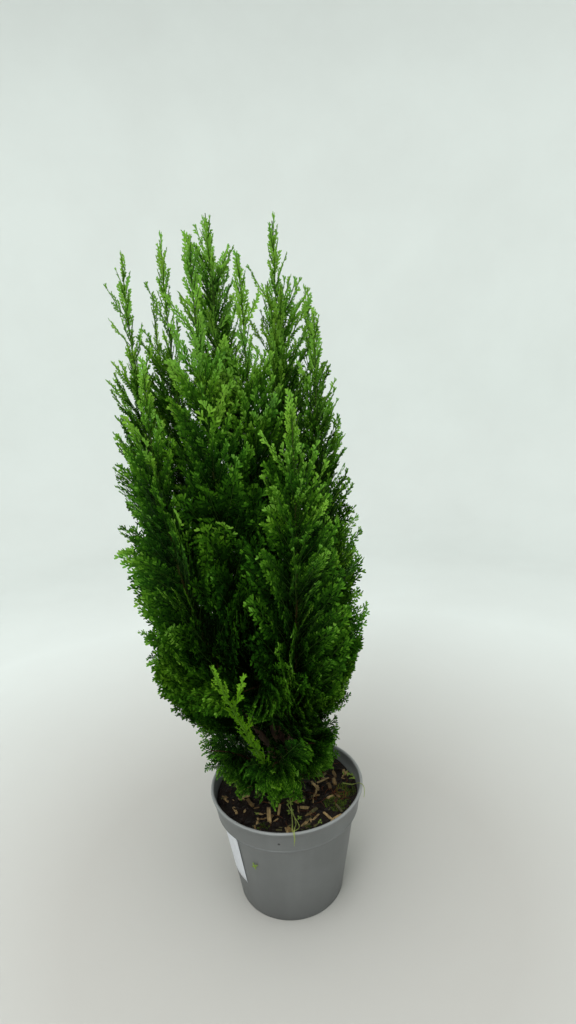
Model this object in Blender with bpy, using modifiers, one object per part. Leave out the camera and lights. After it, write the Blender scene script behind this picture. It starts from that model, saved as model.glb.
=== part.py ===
"""A potted lawson cypress: pot, compost, trunk, boughs and masses of foliage, in metres with +Z up.

The origin is the middle of the pot's flat underside. The plant was seen from the -Y side.
"""

import math
import random

import bmesh
import bpy
import numpy as np
from mathutils import Matrix, Vector
from mathutils.bvhtree import BVHTree

NAME = "potted_lawson_cypress"
GAP = 0.0003
WELD = 0.00001

# The pot: a round nursery pot with a deep collar
POT_HEIGHT = 0.1150
RIM_RADIUS = 0.0750
LIP_HEIGHT = 0.0030
COLLAR_TOP_RADIUS = 0.0736
COLLAR_FOOT_RADIUS = 0.0702
COLLAR_FOOT = 0.0915
BODY_TOP_RADIUS = 0.0660
BODY_TOP = 0.0895
FOOT_RADIUS = 0.0520
FOOT_ROUND = 0.0010
WALL = 0.0016
FLOOR = 0.0022
POT_SIDES = 36
HOLES = 6
HOLE_RADIUS = 0.0045
HOLE_CIRCLE = 0.0400

# The compost: a plug whose top lies a little below the rim
SOIL_TOP = 0.1030
SOIL_HUMP = 0.0028
SOIL_RINGS = 5
SOIL_SIDES = 20
SOIL_LEVEL_RADIUS = 0.0170
SOIL_RISE_OVER = 0.0200
SOIL_WAVES = (3, 7, 90.0)

# The trunk: upright with a slight lean to the left
TRUNK_FOOT = (0.0020, 0.0)
TRUNK_TIP = (-0.0330, 0.0080)
TRUNK_TOP = 0.4300
TRUNK_RADIUS = 0.0066
TRUNK_TIP_RADIUS = 0.0018
TRUNK_TAPER = 0.55
TRUNK_SWAY = 0.0022
TRUNK_BENDS = 1.6
TRUNK_ROWS = 9
FLARE = 0.0034
FLARE_HEIGHT = 0.0100
FLARE_ROWS = (0.0, 0.004, 0.009, 0.017, 0.030)
TRUNK_SIDES = 10

# The boughs: each leaves the trunk low down and turns up into its leader
BOUGH_RADIUS = 0.0032
BOUGH_TIP_RADIUS = 0.0017
BOUGH_SIDES = 6
BOUGH_ROWS = 6
FORK_LOW = 0.1200
FORK_HIGH = 0.1650
FORK_STEP = 0.0020
FORK_TRIES = 48
TURN_UP = 2.4
LEADER_FOOT = 0.2100
WIDE_SPREAD = 0.0950
INNER_SPREAD = 0.0300
INNER_FOOT = 0.2150
SEAT_STEP = 0.00005

# The leaders: tips of the upright shoots, as (x, y, z)
LEADER_TIPS = {
    "far_left": (-0.109, -0.010, 0.606),
    "left": (-0.083, 0.024, 0.624),
    "left_back": (-0.102, 0.064, 0.588),
    "front_left": (-0.088, -0.064, 0.520),
    "tall_front": (-0.047, -0.056, 0.607),
    "back": (-0.046, 0.074, 0.616),
    "front_middle": (-0.012, -0.040, 0.597),
    "right": (0.014, -0.004, 0.628),
    "back_right": (0.006, 0.072, 0.594),
    "far_right_back": (0.042, 0.038, 0.579),
    "far_right": (0.044, -0.018, 0.553),
    "front_right": (0.022, -0.074, 0.490),
}
TOP_TIP = (-0.041, 0.010, 0.640)

# The low and middle masses: two rings round the trunk, and one young shoot in front
RINGS = {
    "low_mass": {
        "bearings": (12.0, 62.0, 115.0, 170.0, 215.0, 262.0, 312.0),
        "foot": (0.1150, 0.0028),
        "middle": (-0.022, -0.004),
        "reach": (0.057, 0.066),
        "tip": (0.1790, 0.0040, 0.0020),
        "bow": 0.0180,
        "from": 0.24,
        "sprays": 14,
        "apart": 0.0090,
        "length": (0.060, 0.046),
        "open": (50.0, 32.0),
        "lift": -0.04,
        "seed": 200,
        "height": 0.1,
    },
    "middle_mass": {
        "gaps": 6,
        "foot": (0.1900, 0.0060),
        "middle": (-0.032, 0.002),
        "reach": (0.077, 0.074),
        "tip": (0.2600, 0.0200, 0.0150),
        "bow": 0.0080,
        "from": 0.50,
        "sprays": 12,
        "apart": 0.0096,
        "length": (0.068, 0.052),
        "open": (48.0, 26.0),
        "lift": 0.12,
        "seed": 300,
        "height": 0.4,
    },
}
TURN_STEP = math.radians(2.5)
TURN_TRIES = 60
STEM_CLEAR = 0.0030
SHOOT_FOOT = 0.1160
SHOOT_SIDE = (-0.30, -0.95, 0.0)
SHOOT_MIDDLE = (-0.016, -0.058, 0.160)
SHOOT_TIP = (-0.050, -0.104, 0.292)

# The stems and sprays
SIDE_FROM = (0.31, 0.95, 0.05)
COARSE_STEP = 0.0060
FINE_STEP = 0.0030
STEM_RADIUS = 0.0016
STEM_TIP_RADIUS = 0.0008
STEM_SIDES = 3
SPRAY_THICK = 0.0014
SPRAY_HEART = 0.30
SLENDER_FROM = 0.58
TIP_OVERLAP = 0.85
GOLDEN = math.radians(137.5)
CLEAR = 0.0009
LIMB_CLEAR = 0.0008
RIM_CLEAR = 0.1190
LENGTH_TRIES = (1.0, 0.80, 0.64, 0.52)
ROOT_SHARE = 0.16
SAMPLE_ROWS = 11
SAMPLES_ACROSS = 5
SPRAY_MIDDLES = (0.45, 0.80)
SIDE_TURNS = (0.0, 0.9, -0.9, 1.9, -1.9, 3.1)
FAN = (
    (0.00, 0.000),
    (0.36, 0.225),
    (0.42, 0.130),
    (0.70, 0.160),
    (1.00, 0.000),
)
PLUME = (
    (0.00, 0.000),
    (0.28, 0.120),
    (0.36, 0.080),
    (0.62, 0.085),
    (1.00, 0.000),
)


def remove_everything():
    for item in list(bpy.data.objects):
        bpy.data.objects.remove(item, do_unlink=True)


def new_collection(name):
    collection = bpy.data.collections.new(name)
    bpy.context.scene.collection.children.link(collection)
    return collection


def new_material(name, colour, roughness):
    material = bpy.data.materials.new(name)
    material.use_nodes = True
    material.diffuse_color = (*colour, 1.0)
    shader = material.node_tree.nodes["Principled BSDF"]
    shader.inputs["Base Color"].default_value = (*colour, 1.0)
    shader.inputs["Roughness"].default_value = roughness
    shader.inputs["Metallic"].default_value = 0.0
    return material


def plastic_material():
    return new_material("grey_plastic", (0.110, 0.112, 0.114), 0.55)


def compost_material():
    return new_material("dark_compost", (0.022, 0.014, 0.010), 0.95)


def bark_material():
    return new_material("red_brown_bark", (0.130, 0.062, 0.035), 0.90)


def foliage_material(name, height):
    """Green that turns brighter and yellower from the foot of the crown to its top."""
    low, high = Vector((0.020, 0.060, 0.012)), Vector((0.085, 0.230, 0.030))
    colour = low.lerp(high, min(max(height, 0.0), 1.0))
    return new_material("green_" + name, tuple(colour), 0.70)


def mesh_object(name, bm, collection, smooth=False):
    mesh = bpy.data.meshes.new(name)
    bmesh.ops.recalc_face_normals(bm, faces=bm.faces)
    bm.to_mesh(mesh)
    bm.free()
    for polygon in mesh.polygons:
        polygon.use_smooth = smooth
    item = bpy.data.objects.new(name, mesh)
    collection.objects.link(item)
    return item


def bake(item):
    """Replace the object's mesh by what its modifiers make of it."""
    graph = bpy.context.evaluated_depsgraph_get()
    mesh = bpy.data.meshes.new_from_object(item.evaluated_get(graph), depsgraph=graph)
    item.modifiers.clear()
    item.data = mesh


def weld(item):
    bm = bmesh.new()
    bm.from_mesh(item.data)
    bmesh.ops.remove_doubles(bm, verts=bm.verts, dist=WELD)
    bmesh.ops.recalc_face_normals(bm, faces=bm.faces)
    bm.to_mesh(item.data)
    bm.free()


# Pot and compost


def inner_wall():
    """The inside of the pot as (radius, height), from its floor up to its lip."""
    slope = (BODY_TOP_RADIUS - FOOT_RADIUS) / BODY_TOP
    return [
        (FOOT_RADIUS + slope * FLOOR - WALL - FOOT_ROUND, FLOOR),
        (FOOT_RADIUS + slope * (FLOOR + FOOT_ROUND) - WALL, FLOOR + FOOT_ROUND),
        (BODY_TOP_RADIUS - WALL, BODY_TOP),
        (COLLAR_FOOT_RADIUS - WALL, COLLAR_FOOT + WALL),
        (COLLAR_TOP_RADIUS - WALL, POT_HEIGHT - LIP_HEIGHT),
    ]


def outer_wall():
    """The outside of the pot as (radius, height), from its lip down to its foot."""
    return [
        (RIM_RADIUS - 0.0017, POT_HEIGHT),
        (RIM_RADIUS - 0.0005, POT_HEIGHT - 0.0004),
        (RIM_RADIUS, POT_HEIGHT - 0.0013),
        (RIM_RADIUS - 0.0004, POT_HEIGHT - 0.0025),
        (COLLAR_TOP_RADIUS, POT_HEIGHT - LIP_HEIGHT),
        (COLLAR_FOOT_RADIUS, COLLAR_FOOT + 0.0006),
        (COLLAR_FOOT_RADIUS - 0.0006, COLLAR_FOOT),
        (BODY_TOP_RADIUS + 0.0006, BODY_TOP + 0.0012),
        (BODY_TOP_RADIUS, BODY_TOP),
        (FOOT_RADIUS, FOOT_ROUND),
        (FOOT_RADIUS - FOOT_ROUND, 0.0),
    ]


def make_pot(parts, cutters):
    profile = [(0.0, FLOOR), *inner_wall(), *outer_wall(), (0.0, 0.0)]
    bm = bmesh.new()
    verts = [bm.verts.new((radius, 0.0, height)) for radius, height in profile]
    for first, second in zip(verts, verts[1:]):
        bm.edges.new((first, second))
    pot = mesh_object("pot", bm, parts, True)
    screw = pot.modifiers.new("turn", "SCREW")
    screw.angle = math.tau
    screw.steps = POT_SIDES
    screw.render_steps = POT_SIDES
    screw.use_merge_vertices = True
    screw.merge_threshold = WELD
    bake(pot)
    weld(pot)
    for index in range(HOLES):
        angle = math.tau * index / HOLES
        bm = bmesh.new()
        bmesh.ops.create_cone(
            bm,
            cap_ends=True,
            segments=10,
            radius1=HOLE_RADIUS,
            radius2=HOLE_RADIUS,
            depth=4 * FLOOR,
            matrix=Matrix.Translation(
                (HOLE_CIRCLE * math.cos(angle), HOLE_CIRCLE * math.sin(angle), 0.0)
            ),
        )
        cutter = mesh_object(f"drain_hole_{index}", bm, cutters)
        cutter.hide_render = True
        cutter.display_type = "WIRE"
    cut = pot.modifiers.new("drain_holes", "BOOLEAN")
    cut.operation = "DIFFERENCE"
    cut.solver = "EXACT"
    cut.operand_type = "COLLECTION"
    cut.collection = cutters
    bake(pot)
    pot.data.materials.clear()
    pot.data.materials.append(plastic_material())
    return pot


def soil_height(radius, angle):
    """Low humps across the compost, level round the trunk's foot."""
    rise = min(max((radius - SOIL_LEVEL_RADIUS) / SOIL_RISE_OVER, 0.0), 1.0)
    few, many, outward = SOIL_WAVES
    wave = math.sin(few * angle + 0.7) * math.cos(outward * radius) + 0.5 * math.sin(many * angle)
    return SOIL_TOP + SOIL_HUMP * rise * 0.5 * wave


def make_compost(parts):
    side = [(radius - GAP * 1.5, height) for radius, height in inner_wall()[1:4]]
    side[0] = (side[0][0], FLOOR + 2 * FOOT_ROUND)
    side.insert(0, (side[0][0] - FOOT_ROUND, FLOOR + GAP))
    low_rim, high_rim = inner_wall()[3], inner_wall()[4]
    share = (SOIL_TOP - low_rim[1]) / (high_rim[1] - low_rim[1])
    top_radius = low_rim[0] + share * (high_rim[0] - low_rim[0]) - 3 * GAP
    bm = bmesh.new()
    rings = []
    for radius, height in side:
        rings.append([(radius, height, index) for index in range(SOIL_SIDES)])
    for step in range(SOIL_RINGS, 0, -1):
        radius = top_radius * step / SOIL_RINGS
        rings.append([(radius, None, index) for index in range(SOIL_SIDES)])
    made = []
    for ring in rings:
        row = []
        for radius, height, index in ring:
            angle = math.tau * index / SOIL_SIDES
            level = soil_height(radius, angle) if height is None else height
            row.append(bm.verts.new((radius * math.cos(angle), radius * math.sin(angle), level)))
        made.append(row)
    for lower, upper in zip(made, made[1:]):
        for index in range(SOIL_SIDES):
            after = (index + 1) % SOIL_SIDES
            bm.faces.new((lower[index], lower[after], upper[after], upper[index]))
    bm.faces.new(made[0][::-1])
    bm.faces.new(made[-1])
    compost = mesh_object("compost", bm, parts)
    compost.data.materials.append(compost_material())
    return compost


# Trunk and boughs


def trunk_axis(height):
    share = (height - SOIL_TOP) / (TRUNK_TOP - SOIL_TOP)
    sway = TRUNK_SWAY * math.sin(math.pi * TRUNK_BENDS * share)
    across = TRUNK_FOOT[0] + (TRUNK_TIP[0] - TRUNK_FOOT[0]) * share
    along = TRUNK_FOOT[1] + (TRUNK_TIP[1] - TRUNK_FOOT[1]) * share
    return Vector((across + sway, along - sway, height))


def trunk_radius(height):
    share = (height - SOIL_TOP) / (TRUNK_TOP - SOIL_TOP)
    flare = FLARE * math.exp(-(height - SOIL_TOP) / FLARE_HEIGHT)
    return TRUNK_RADIUS + (TRUNK_TIP_RADIUS - TRUNK_RADIUS) * share**TRUNK_TAPER + flare


def frame_of(path, index):
    """The direction of a path at one of its points, and two directions square to it."""
    before = path[max(index - 1, 0)]
    after = path[min(index + 1, len(path) - 1)]
    along = (after - before).normalized()
    side = along.cross(Vector(SIDE_FROM))
    side.normalize()
    return along, side, along.cross(side)


def ring_points(middle, side, other, radius, sides):
    turns = [math.tau * step / sides for step in range(sides)]
    return [middle + (side * math.cos(turn) + other * math.sin(turn)) * radius for turn in turns]


def tube(path, radii, sides, level_foot=False):
    """A tapering limb along a path, closed by a flat face at each end."""
    bm = bmesh.new()
    rows = []
    for index, (point, radius) in enumerate(zip(path, radii)):
        along, side, other = frame_of(path, index)
        if level_foot:
            side, other = Vector((1.0, 0.0, 0.0)), Vector((0.0, 1.0, 0.0))
        ring = ring_points(point, side, other, radius, sides)
        rows.append([bm.verts.new(corner) for corner in ring])
    for lower, upper in zip(rows, rows[1:]):
        for step in range(sides):
            after = (step + 1) % sides
            bm.faces.new((lower[step], lower[after], upper[after], upper[step]))
    bm.faces.new(rows[0][::-1])
    bm.faces.new(rows[-1])
    return bm


def make_trunk(parts, brown):
    heights = [SOIL_TOP + GAP + rise for rise in FLARE_ROWS]
    heights += [float(value) for value in np.linspace(FORK_HIGH, TRUNK_TOP, TRUNK_ROWS)]
    path = [trunk_axis(height) for height in heights]
    radii = [trunk_radius(height) for height in heights]
    trunk = mesh_object("trunk", tube(path, radii, TRUNK_SIDES, True), parts, True)
    trunk.data.materials.append(brown)
    return trunk


def spread_of(tip):
    """How far a leader's tip stands out from the trunk."""
    axis = trunk_axis(LEADER_FOOT)
    return math.hypot(tip[0] - axis.x, tip[1] - axis.y)


def surface_of(item):
    mesh = item.data
    corners = [vert.co for vert in mesh.vertices]
    return BVHTree.FromPolygons(corners, [tuple(face.vertices) for face in mesh.polygons])


def foot_room(path, radius, sides, bark):
    """How far the foot of a limb lies outside the trunk's bark."""
    along, side, other = frame_of(path, 0)
    ring = ring_points(path[0], side, other, radius, sides)
    rooms = []
    for point in [path[0], *ring, *[one.lerp(two, 0.5) for one, two in zip(ring, ring[1:])]]:
        place, normal, face, distance = bark.find_nearest(point)
        rooms.append(math.copysign(distance, (point - place).dot(normal)))
    return min(rooms)


def seated(path, radius, sides, bark):
    """Draw a limb's foot back until it almost touches the trunk's bark."""
    back = (path[0] - path[1]).normalized() * SEAT_STEP
    foot = path[0]
    while foot_room([foot + back, *path[1:]], radius, sides, bark) > GAP:
        foot = foot + back
    return [foot, *path[1:]]


def fork_height(tip):
    """Boughs of the outer leaders leave the trunk lower than those of the inner ones."""
    share = min(spread_of(tip) / WIDE_SPREAD, 1.0)
    return FORK_HIGH + (FORK_LOW - FORK_HIGH) * share


def shoot_point(fork, tip, share):
    """A point of the curve that leaves the trunk sideways and turns up to a leader's tip."""
    turn = 1.0 - (1.0 - share) ** TURN_UP
    return Vector((
        fork.x + (tip[0] - fork.x) * turn,
        fork.y + (tip[1] - fork.y) * turn,
        fork.z + (tip[2] - fork.z) * share,
    ))


def shares_between(first, last, count):
    return [first + (last - first) * index / (count - 1) for index in range(count)]


def leaving_share(fork, tip, radius):
    """How far along its curve a limb comes clear of the trunk's bark."""
    share = 0.0
    while True:
        share += 0.001
        point = shoot_point(fork, tip, share)
        along = (shoot_point(fork, tip, share + 0.01) - point).normalized()
        lean = math.hypot(along.x, along.y)
        reach = math.hypot(point.x - trunk_axis(point.z).x, point.y - trunk_axis(point.z).y)
        low = point.z - radius * lean
        if reach - radius * along.z > trunk_radius(low) + 2 * GAP:
            return share


def samples_of(path, step=COARSE_STEP):
    """Points set evenly along a path, as an array."""
    points = []
    for first, second in zip(path, path[1:]):
        count = max(int((second - first).length / step), 1)
        points += [first.lerp(second, index / count) for index in range(count)]
    points.append(path[-1])
    return np.array([tuple(point) for point in points])


def distances(points, others):
    return np.sqrt(((points[:, None, :] - others[None, :, :]) ** 2).sum(axis=2))


def nearest(points, others):
    """For each point the distance to the nearest of the others."""
    return distances(points, others).min(axis=1)


def room_beside(points, limbs):
    """The least distance from points to the bark of limbs given as axis points and radii."""
    return min(((distances(points, axis) - radii).min() for axis, radii in limbs), default=1.0)


def out_and_back(count):
    """Whole numbers from nought outwards on both sides: 0, 1, -1, 2, -2 and so on."""
    return [(index + 1) // 2 * (1 if index % 2 else -1) for index in range(count)]


def bough_path(fork, tip):
    first = leaving_share(fork, tip, BOUGH_RADIUS)
    last = (LEADER_FOOT - fork.z) / (tip[2] - fork.z)
    return [shoot_point(fork, tip, share) for share in shares_between(first, last, BOUGH_ROWS)]


def limb_shape(path, foot_radius, tip_radius):
    axis = samples_of(path, FINE_STEP)
    return axis, np.linspace(foot_radius, tip_radius, len(axis))


def grow_boughs(bark):
    """A fork and a path for each outer leader's bough, each clear of the boughs before it."""
    boughs = {}
    shapes = []
    for name, tip in LEADER_TIPS.items():
        if spread_of(tip) < INNER_SPREAD:
            continue
        for step in out_and_back(FORK_TRIES):
            height = max(fork_height(tip) + step * FORK_STEP, FORK_LOW)
            fork = trunk_axis(height)
            path = seated(bough_path(fork, tip), BOUGH_RADIUS, BOUGH_SIDES, bark)
            shape = limb_shape(path, BOUGH_RADIUS, BOUGH_TIP_RADIUS)
            if room_beside(shape[0], shapes) > BOUGH_RADIUS + 2 * GAP:
                break
        boughs[name] = (fork, path)
        shapes.append(shape)
    return boughs


def leader_path(tip, boughs, name):
    """A leader's stem, from its bough's tip or, near the crown's middle, from the trunk."""
    if name in boughs:
        fork = boughs[name][0]
        first = (LEADER_FOOT - fork.z) / (tip[2] - fork.z)
    else:
        fork = trunk_axis(INNER_FOOT)
        first = leaving_share(fork, tip, STEM_RADIUS)
    path = [shoot_point(fork, tip, share) for share in shares_between(first, 1.0, 10)]
    if name in boughs:
        path[0] = path[0] + (path[1] - path[0]).normalized() * GAP
    return path


def make_bough(name, path, parts, brown):
    radii = [float(value) for value in np.linspace(BOUGH_RADIUS, BOUGH_TIP_RADIUS, len(path))]
    bough = mesh_object("bough_" + name, tube(path, radii, BOUGH_SIDES), parts, True)
    bough.data.materials.append(brown)
    return bough


# Masses of foliage


def bowed_path(start, middle, end, count):
    path = []
    for share in shares_between(0.0, 1.0, count):
        near = start.lerp(middle, share)
        far = middle.lerp(end, share)
        path.append(near.lerp(far, share))
    return path


def crown_edge(ring, axis, bearing):
    """How far the ring's oval edge lies from the trunk at a bearing."""
    away = [(axis[side] - ring["middle"][side]) / ring["reach"][side] for side in (0, 1)]
    out = [math.cos(bearing) / ring["reach"][0], math.sin(bearing) / ring["reach"][1]]
    square = out[0] ** 2 + out[1] ** 2
    half = away[0] * out[0] + away[1] * out[1]
    rest = away[0] ** 2 + away[1] ** 2 - 1.0
    return (math.sqrt(half**2 - square * rest) - half) / square


def ring_path(bearing, foot, ring):
    """A stem that leaves the trunk at a bearing and bows over to the edge of the crown."""
    axis = trunk_axis(foot)
    out = Vector((math.cos(bearing), math.sin(bearing), 0.0))
    height, left, front = ring["tip"]
    end = axis + out * crown_edge(ring, axis, bearing)
    end.z = height - left * out.x + front * out.y
    start = axis + out * (trunk_radius(foot) + STEM_RADIUS + 2 * GAP)
    middle = start.lerp(end, 0.5) + Vector((0.0, 0.0, ring["bow"]))
    return bowed_path(start, middle, end, 6)


def widest_gaps(count):
    """Bearings in the middle of the widest gaps between the leaders, seen from the trunk."""
    axis = trunk_axis(LEADER_FOOT)
    tips = LEADER_TIPS.values()
    sides = sorted(math.atan2(tip[1] - axis.y, tip[0] - axis.x) for tip in tips)
    after = [*sides[1:], sides[0] + math.tau]
    gaps = sorted(zip(sides, after), key=lambda gap: gap[0] - gap[1])
    return [(first + second) / 2 for first, second in gaps[:count]]


def ring_bearings(ring):
    if "gaps" in ring:
        return widest_gaps(ring["gaps"])
    return [math.radians(bearing) for bearing in ring["bearings"]]


def clear_ring_path(bearing, foot, ring, taken):
    """The ring path nearest a bearing that runs clear of boughs and of the stems before it."""
    for step in out_and_back(TURN_TRIES):
        path = ring_path(bearing + step * TURN_STEP, foot, ring)
        if room_beside(samples_of(path, FINE_STEP), taken) > STEM_CLEAR:
            return path
    return ring_path(bearing, foot, ring)


def leader_masses(boughs):
    masses = []
    for index, (name, tip) in enumerate(LEADER_TIPS.items()):
        masses.append({
            "name": "leader_" + name,
            "path": leader_path(tip, boughs, name),
            "from_trunk": name not in boughs,
            "from": 0.03,
            "sprays": 18,
            "apart": 0.0105,
            "length": (0.086, 0.026),
            "open": (46.0, 30.0),
            "lift": 0.10,
            "tip": 0.062,
            "slender": SLENDER_FROM,
            "seed": 100 + index,
            "height": 0.75,
        })
    start = trunk_axis(TRUNK_TOP) + Vector((0.0, 0.0, GAP + STEM_RADIUS / 10))
    rise = Vector(TOP_TIP) - start
    masses.append({
        "name": "leader_top",
        "path": [start + rise * share for share in shares_between(0.0, 1.0, 7)],
        "from_trunk": False,
        "from": 0.03,
        "sprays": 11,
        "apart": 0.0105,
        "length": (0.055, 0.026),
        "open": (38.0, 30.0),
        "lift": 0.10,
        "tip": 0.060,
        "slender": SLENDER_FROM / 2,
        "seed": 90,
        "height": 0.9,
    })
    return masses


def ring_masses(taken, bark):
    masses = []
    taken = list(taken)
    for name, ring in RINGS.items():
        bearings = ring_bearings(ring)
        for index, bearing in enumerate(bearings):
            foot = ring["foot"][0] + ring["foot"][1] * (index * 2 % len(bearings))
            path = clear_ring_path(bearing, foot, ring, taken)
            path = seated(path, STEM_RADIUS, STEM_SIDES, bark)
            taken.append(limb_shape(path, STEM_RADIUS, STEM_TIP_RADIUS))
            masses.append({
                **ring,
                "name": f"{name}_{index + 1}",
                "path": path,
                "tip": ring["length"][1],
                "slender": 1.0,
                "seed": ring["seed"] + index,
            })
    return masses


def front_shoot():
    """The young, paler shoot that rises in front of the crown's foot."""
    axis = trunk_axis(SHOOT_FOOT)
    out = Vector(SHOOT_SIDE).normalized()
    start = axis + out * (trunk_radius(SHOOT_FOOT) + STEM_RADIUS * 0.9 + GAP)
    return {
        "name": "front_shoot",
        "path": bowed_path(start, Vector(SHOOT_MIDDLE), Vector(SHOOT_TIP), 9),
        "from": 0.30,
        "sprays": 11,
        "apart": 0.0090,
        "length": (0.036, 0.024),
        "open": (38.0, 30.0),
        "lift": 0.10,
        "tip": 0.032,
        "slender": 0.0,
        "seed": 70,
        "height": 1.0,
    }


def all_masses(boughs, bark):
    leaders = leader_masses(boughs)
    inner = [mass for mass in leaders if mass["from_trunk"]]
    shoot = front_shoot()
    for mass in [*inner, shoot]:
        mass["path"] = seated(mass["path"], STEM_RADIUS, STEM_SIDES, bark)
    taken = [limb_shape(path, BOUGH_RADIUS, BOUGH_TIP_RADIUS) for fork, path in boughs.values()]
    for mass in [*leaders, shoot]:
        taken.append(limb_shape(mass["path"], STEM_RADIUS, STEM_TIP_RADIUS))
    return [*leaders, *ring_masses(taken, bark), shoot]


def point_at(path, share):
    place = share * (len(path) - 1)
    index = min(int(place), len(path) - 2)
    return path[index].lerp(path[index + 1], place - index), frame_of(path, index)


def turned(vector, axis, angle):
    return Matrix.Rotation(angle, 3, axis) @ vector


def side_spray(mass, rng, share, angle):
    """A spray on the side of a mass's stem, turned round it to an angle."""
    root, (along, side, other) = point_at(mass["path"], share)
    wide, narrow = mass["open"]
    long, short = mass["length"]
    out = side * math.cos(angle) + other * math.sin(angle)
    spread = math.radians(wide + (narrow - wide) * share + rng.uniform(-7.0, 7.0))
    direction = along * math.cos(spread) + out * math.sin(spread)
    direction += Vector((0.0, 0.0, mass["lift"]))
    direction.normalize()
    width = (along - direction * along.dot(direction)).normalized()
    width = turned(width, direction, rng.uniform(-1.0, 1.0))
    length = (long + (short - long) * share) * rng.uniform(0.88, 1.12)
    return root, direction, width, length, PLUME if share > mass["slender"] else FAN


def tip_spray(mass, rng):
    path = mass["path"]
    along, side, other = frame_of(path, len(path) - 1)
    width = turned(side, along, rng.uniform(-0.5, 0.5))
    return path[-1] - along * mass["tip"], along, width, mass["tip"], PLUME


def spray_slots(mass):
    """For each place on a mass's stem the sprays that could stand there, the best first."""
    rng = random.Random(mass["seed"])
    path = mass["path"]
    reach = sum((second - first).length for first, second in zip(path, path[1:]))
    last = 1.0 - TIP_OVERLAP * mass["tip"] / reach
    slots = [[tip_spray(mass, rng)]]
    for index in range(mass["sprays"]):
        share = mass["from"] + (last - mass["from"]) * index / (mass["sprays"] - 1)
        angle = GOLDEN * index + rng.uniform(-0.4, 0.4)
        slots.append([side_spray(mass, rng, share, angle + turn) for turn in SIDE_TURNS])
    return slots


def outline_points(root, direction, width, length, shape):
    """The toothed outline of a spray as points in space, one side and then the other."""
    left = [root + direction * (x * length) + width * (y * length) for x, y in shape]
    right = [root + direction * (x * length) - width * (y * length) for x, y in shape[-2:0:-1]]
    return left + right


def spray_samples(root, direction, width, length, shape):
    """Points over a spray past its root, near enough together to tell what it touches."""
    rows = np.linspace(ROOT_SHARE, 1.0, SAMPLE_ROWS)
    halves = np.interp(rows, [x for x, y in shape], [y for x, y in shape])
    across = np.linspace(-1.0, 1.0, SAMPLES_ACROSS)
    ahead = np.repeat(rows, len(across)) * length
    aside = np.outer(halves, across).ravel() * length
    return np.array(root) + np.outer(ahead, direction) + np.outer(aside, width)


def keeps_to_space(points, own, others):
    return bool(np.all(nearest(points, own) + CLEAR < nearest(points, others)))


def clear_of_pot(points):
    radius = np.hypot(points[:, 0], points[:, 1])
    inside = (points[:, 2] > SOIL_TOP + SOIL_HUMP + 0.002) & (radius < RIM_RADIUS - 0.012)
    return bool(np.all((points[:, 2] > RIM_CLEAR) | inside))


def middles_of(spray):
    """Two points on the middle line of a spray, which tell how near another spray lies."""
    root, direction, width, length = spray[:4]
    return [root + direction * (share * length) for share in SPRAY_MIDDLES]


def stands_apart(spray, kept, least):
    ours = middles_of(spray)
    theirs = [point for other in kept for point in middles_of(other)]
    return all((one - two).length > least for one in ours for two in theirs)


def fitting_spray(slot, kept, least, own, others, limbs):
    """The longest spray of a slot that keeps to its mass's space, or none."""
    for share in LENGTH_TRIES:
        for root, direction, width, length, shape in slot:
            spray = (root, direction, width, length * share, shape)
            points = spray_samples(*spray)
            if not clear_of_pot(points) or not stands_apart(spray, kept, least):
                continue
            if not keeps_to_space(points, own, others):
                continue
            if room_beside(points, limbs) > LIMB_CLEAR + SPRAY_THICK / 2:
                return spray
    return None


def fitting_sprays(mass, own, others, limbs):
    """The sprays of a mass, turned, shortened or skipped where they would leave its space."""
    kept = []
    for slot in spray_slots(mass):
        spray = fitting_spray(slot, kept, mass["apart"], own, others, limbs)
        if spray:
            kept.append(spray)
    return kept


def spray_blade(spray):
    """A spray as one toothed blade, thickest in its middle and sharp at its edge."""
    root, direction, width, length = spray[:4]
    normal = direction.cross(width) * (SPRAY_THICK / 2)
    heart = root + direction * (SPRAY_HEART * length)
    bm = bmesh.new()
    edge = [bm.verts.new(point) for point in outline_points(*spray)]
    upper = bm.verts.new(heart + normal)
    lower = bm.verts.new(heart - normal)
    for index, vert in enumerate(edge):
        after = edge[(index + 1) % len(edge)]
        bm.faces.new((vert, after, upper))
        bm.faces.new((after, vert, lower))
    return bm


def drop_fins(bm):
    """Take away faces that joining left hanging from an edge."""
    while True:
        loose = [[edge for edge in face.edges if len(edge.link_faces) == 1] for face in bm.faces]
        fins = [face for face, edges in zip(bm.faces, loose) if len(edges) > 1]
        if not fins:
            return
        bmesh.ops.delete(bm, geom=fins, context="FACES")


def keep_largest_body(item):
    """Fill hollows that joining sealed and drop loose scraps."""
    bm = bmesh.new()
    bm.from_mesh(item.data)
    bmesh.ops.remove_doubles(bm, verts=bm.verts, dist=WELD / 10)
    bmesh.ops.triangulate(bm, faces=bm.faces)
    drop_fins(bm)
    left = set(bm.verts)
    bodies = []
    while left:
        seed = left.pop()
        body = {seed}
        stack = [seed]
        while stack:
            for edge in stack.pop().link_edges:
                for vert in edge.verts:
                    if vert in left:
                        left.discard(vert)
                        body.add(vert)
                        stack.append(vert)
        bodies.append(body)
    bodies.sort(key=len, reverse=True)
    scraps = [vert for body in bodies[1:] for vert in body]
    bmesh.ops.delete(bm, geom=scraps, context="VERTS")
    bm.to_mesh(item.data)
    bm.free()


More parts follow.
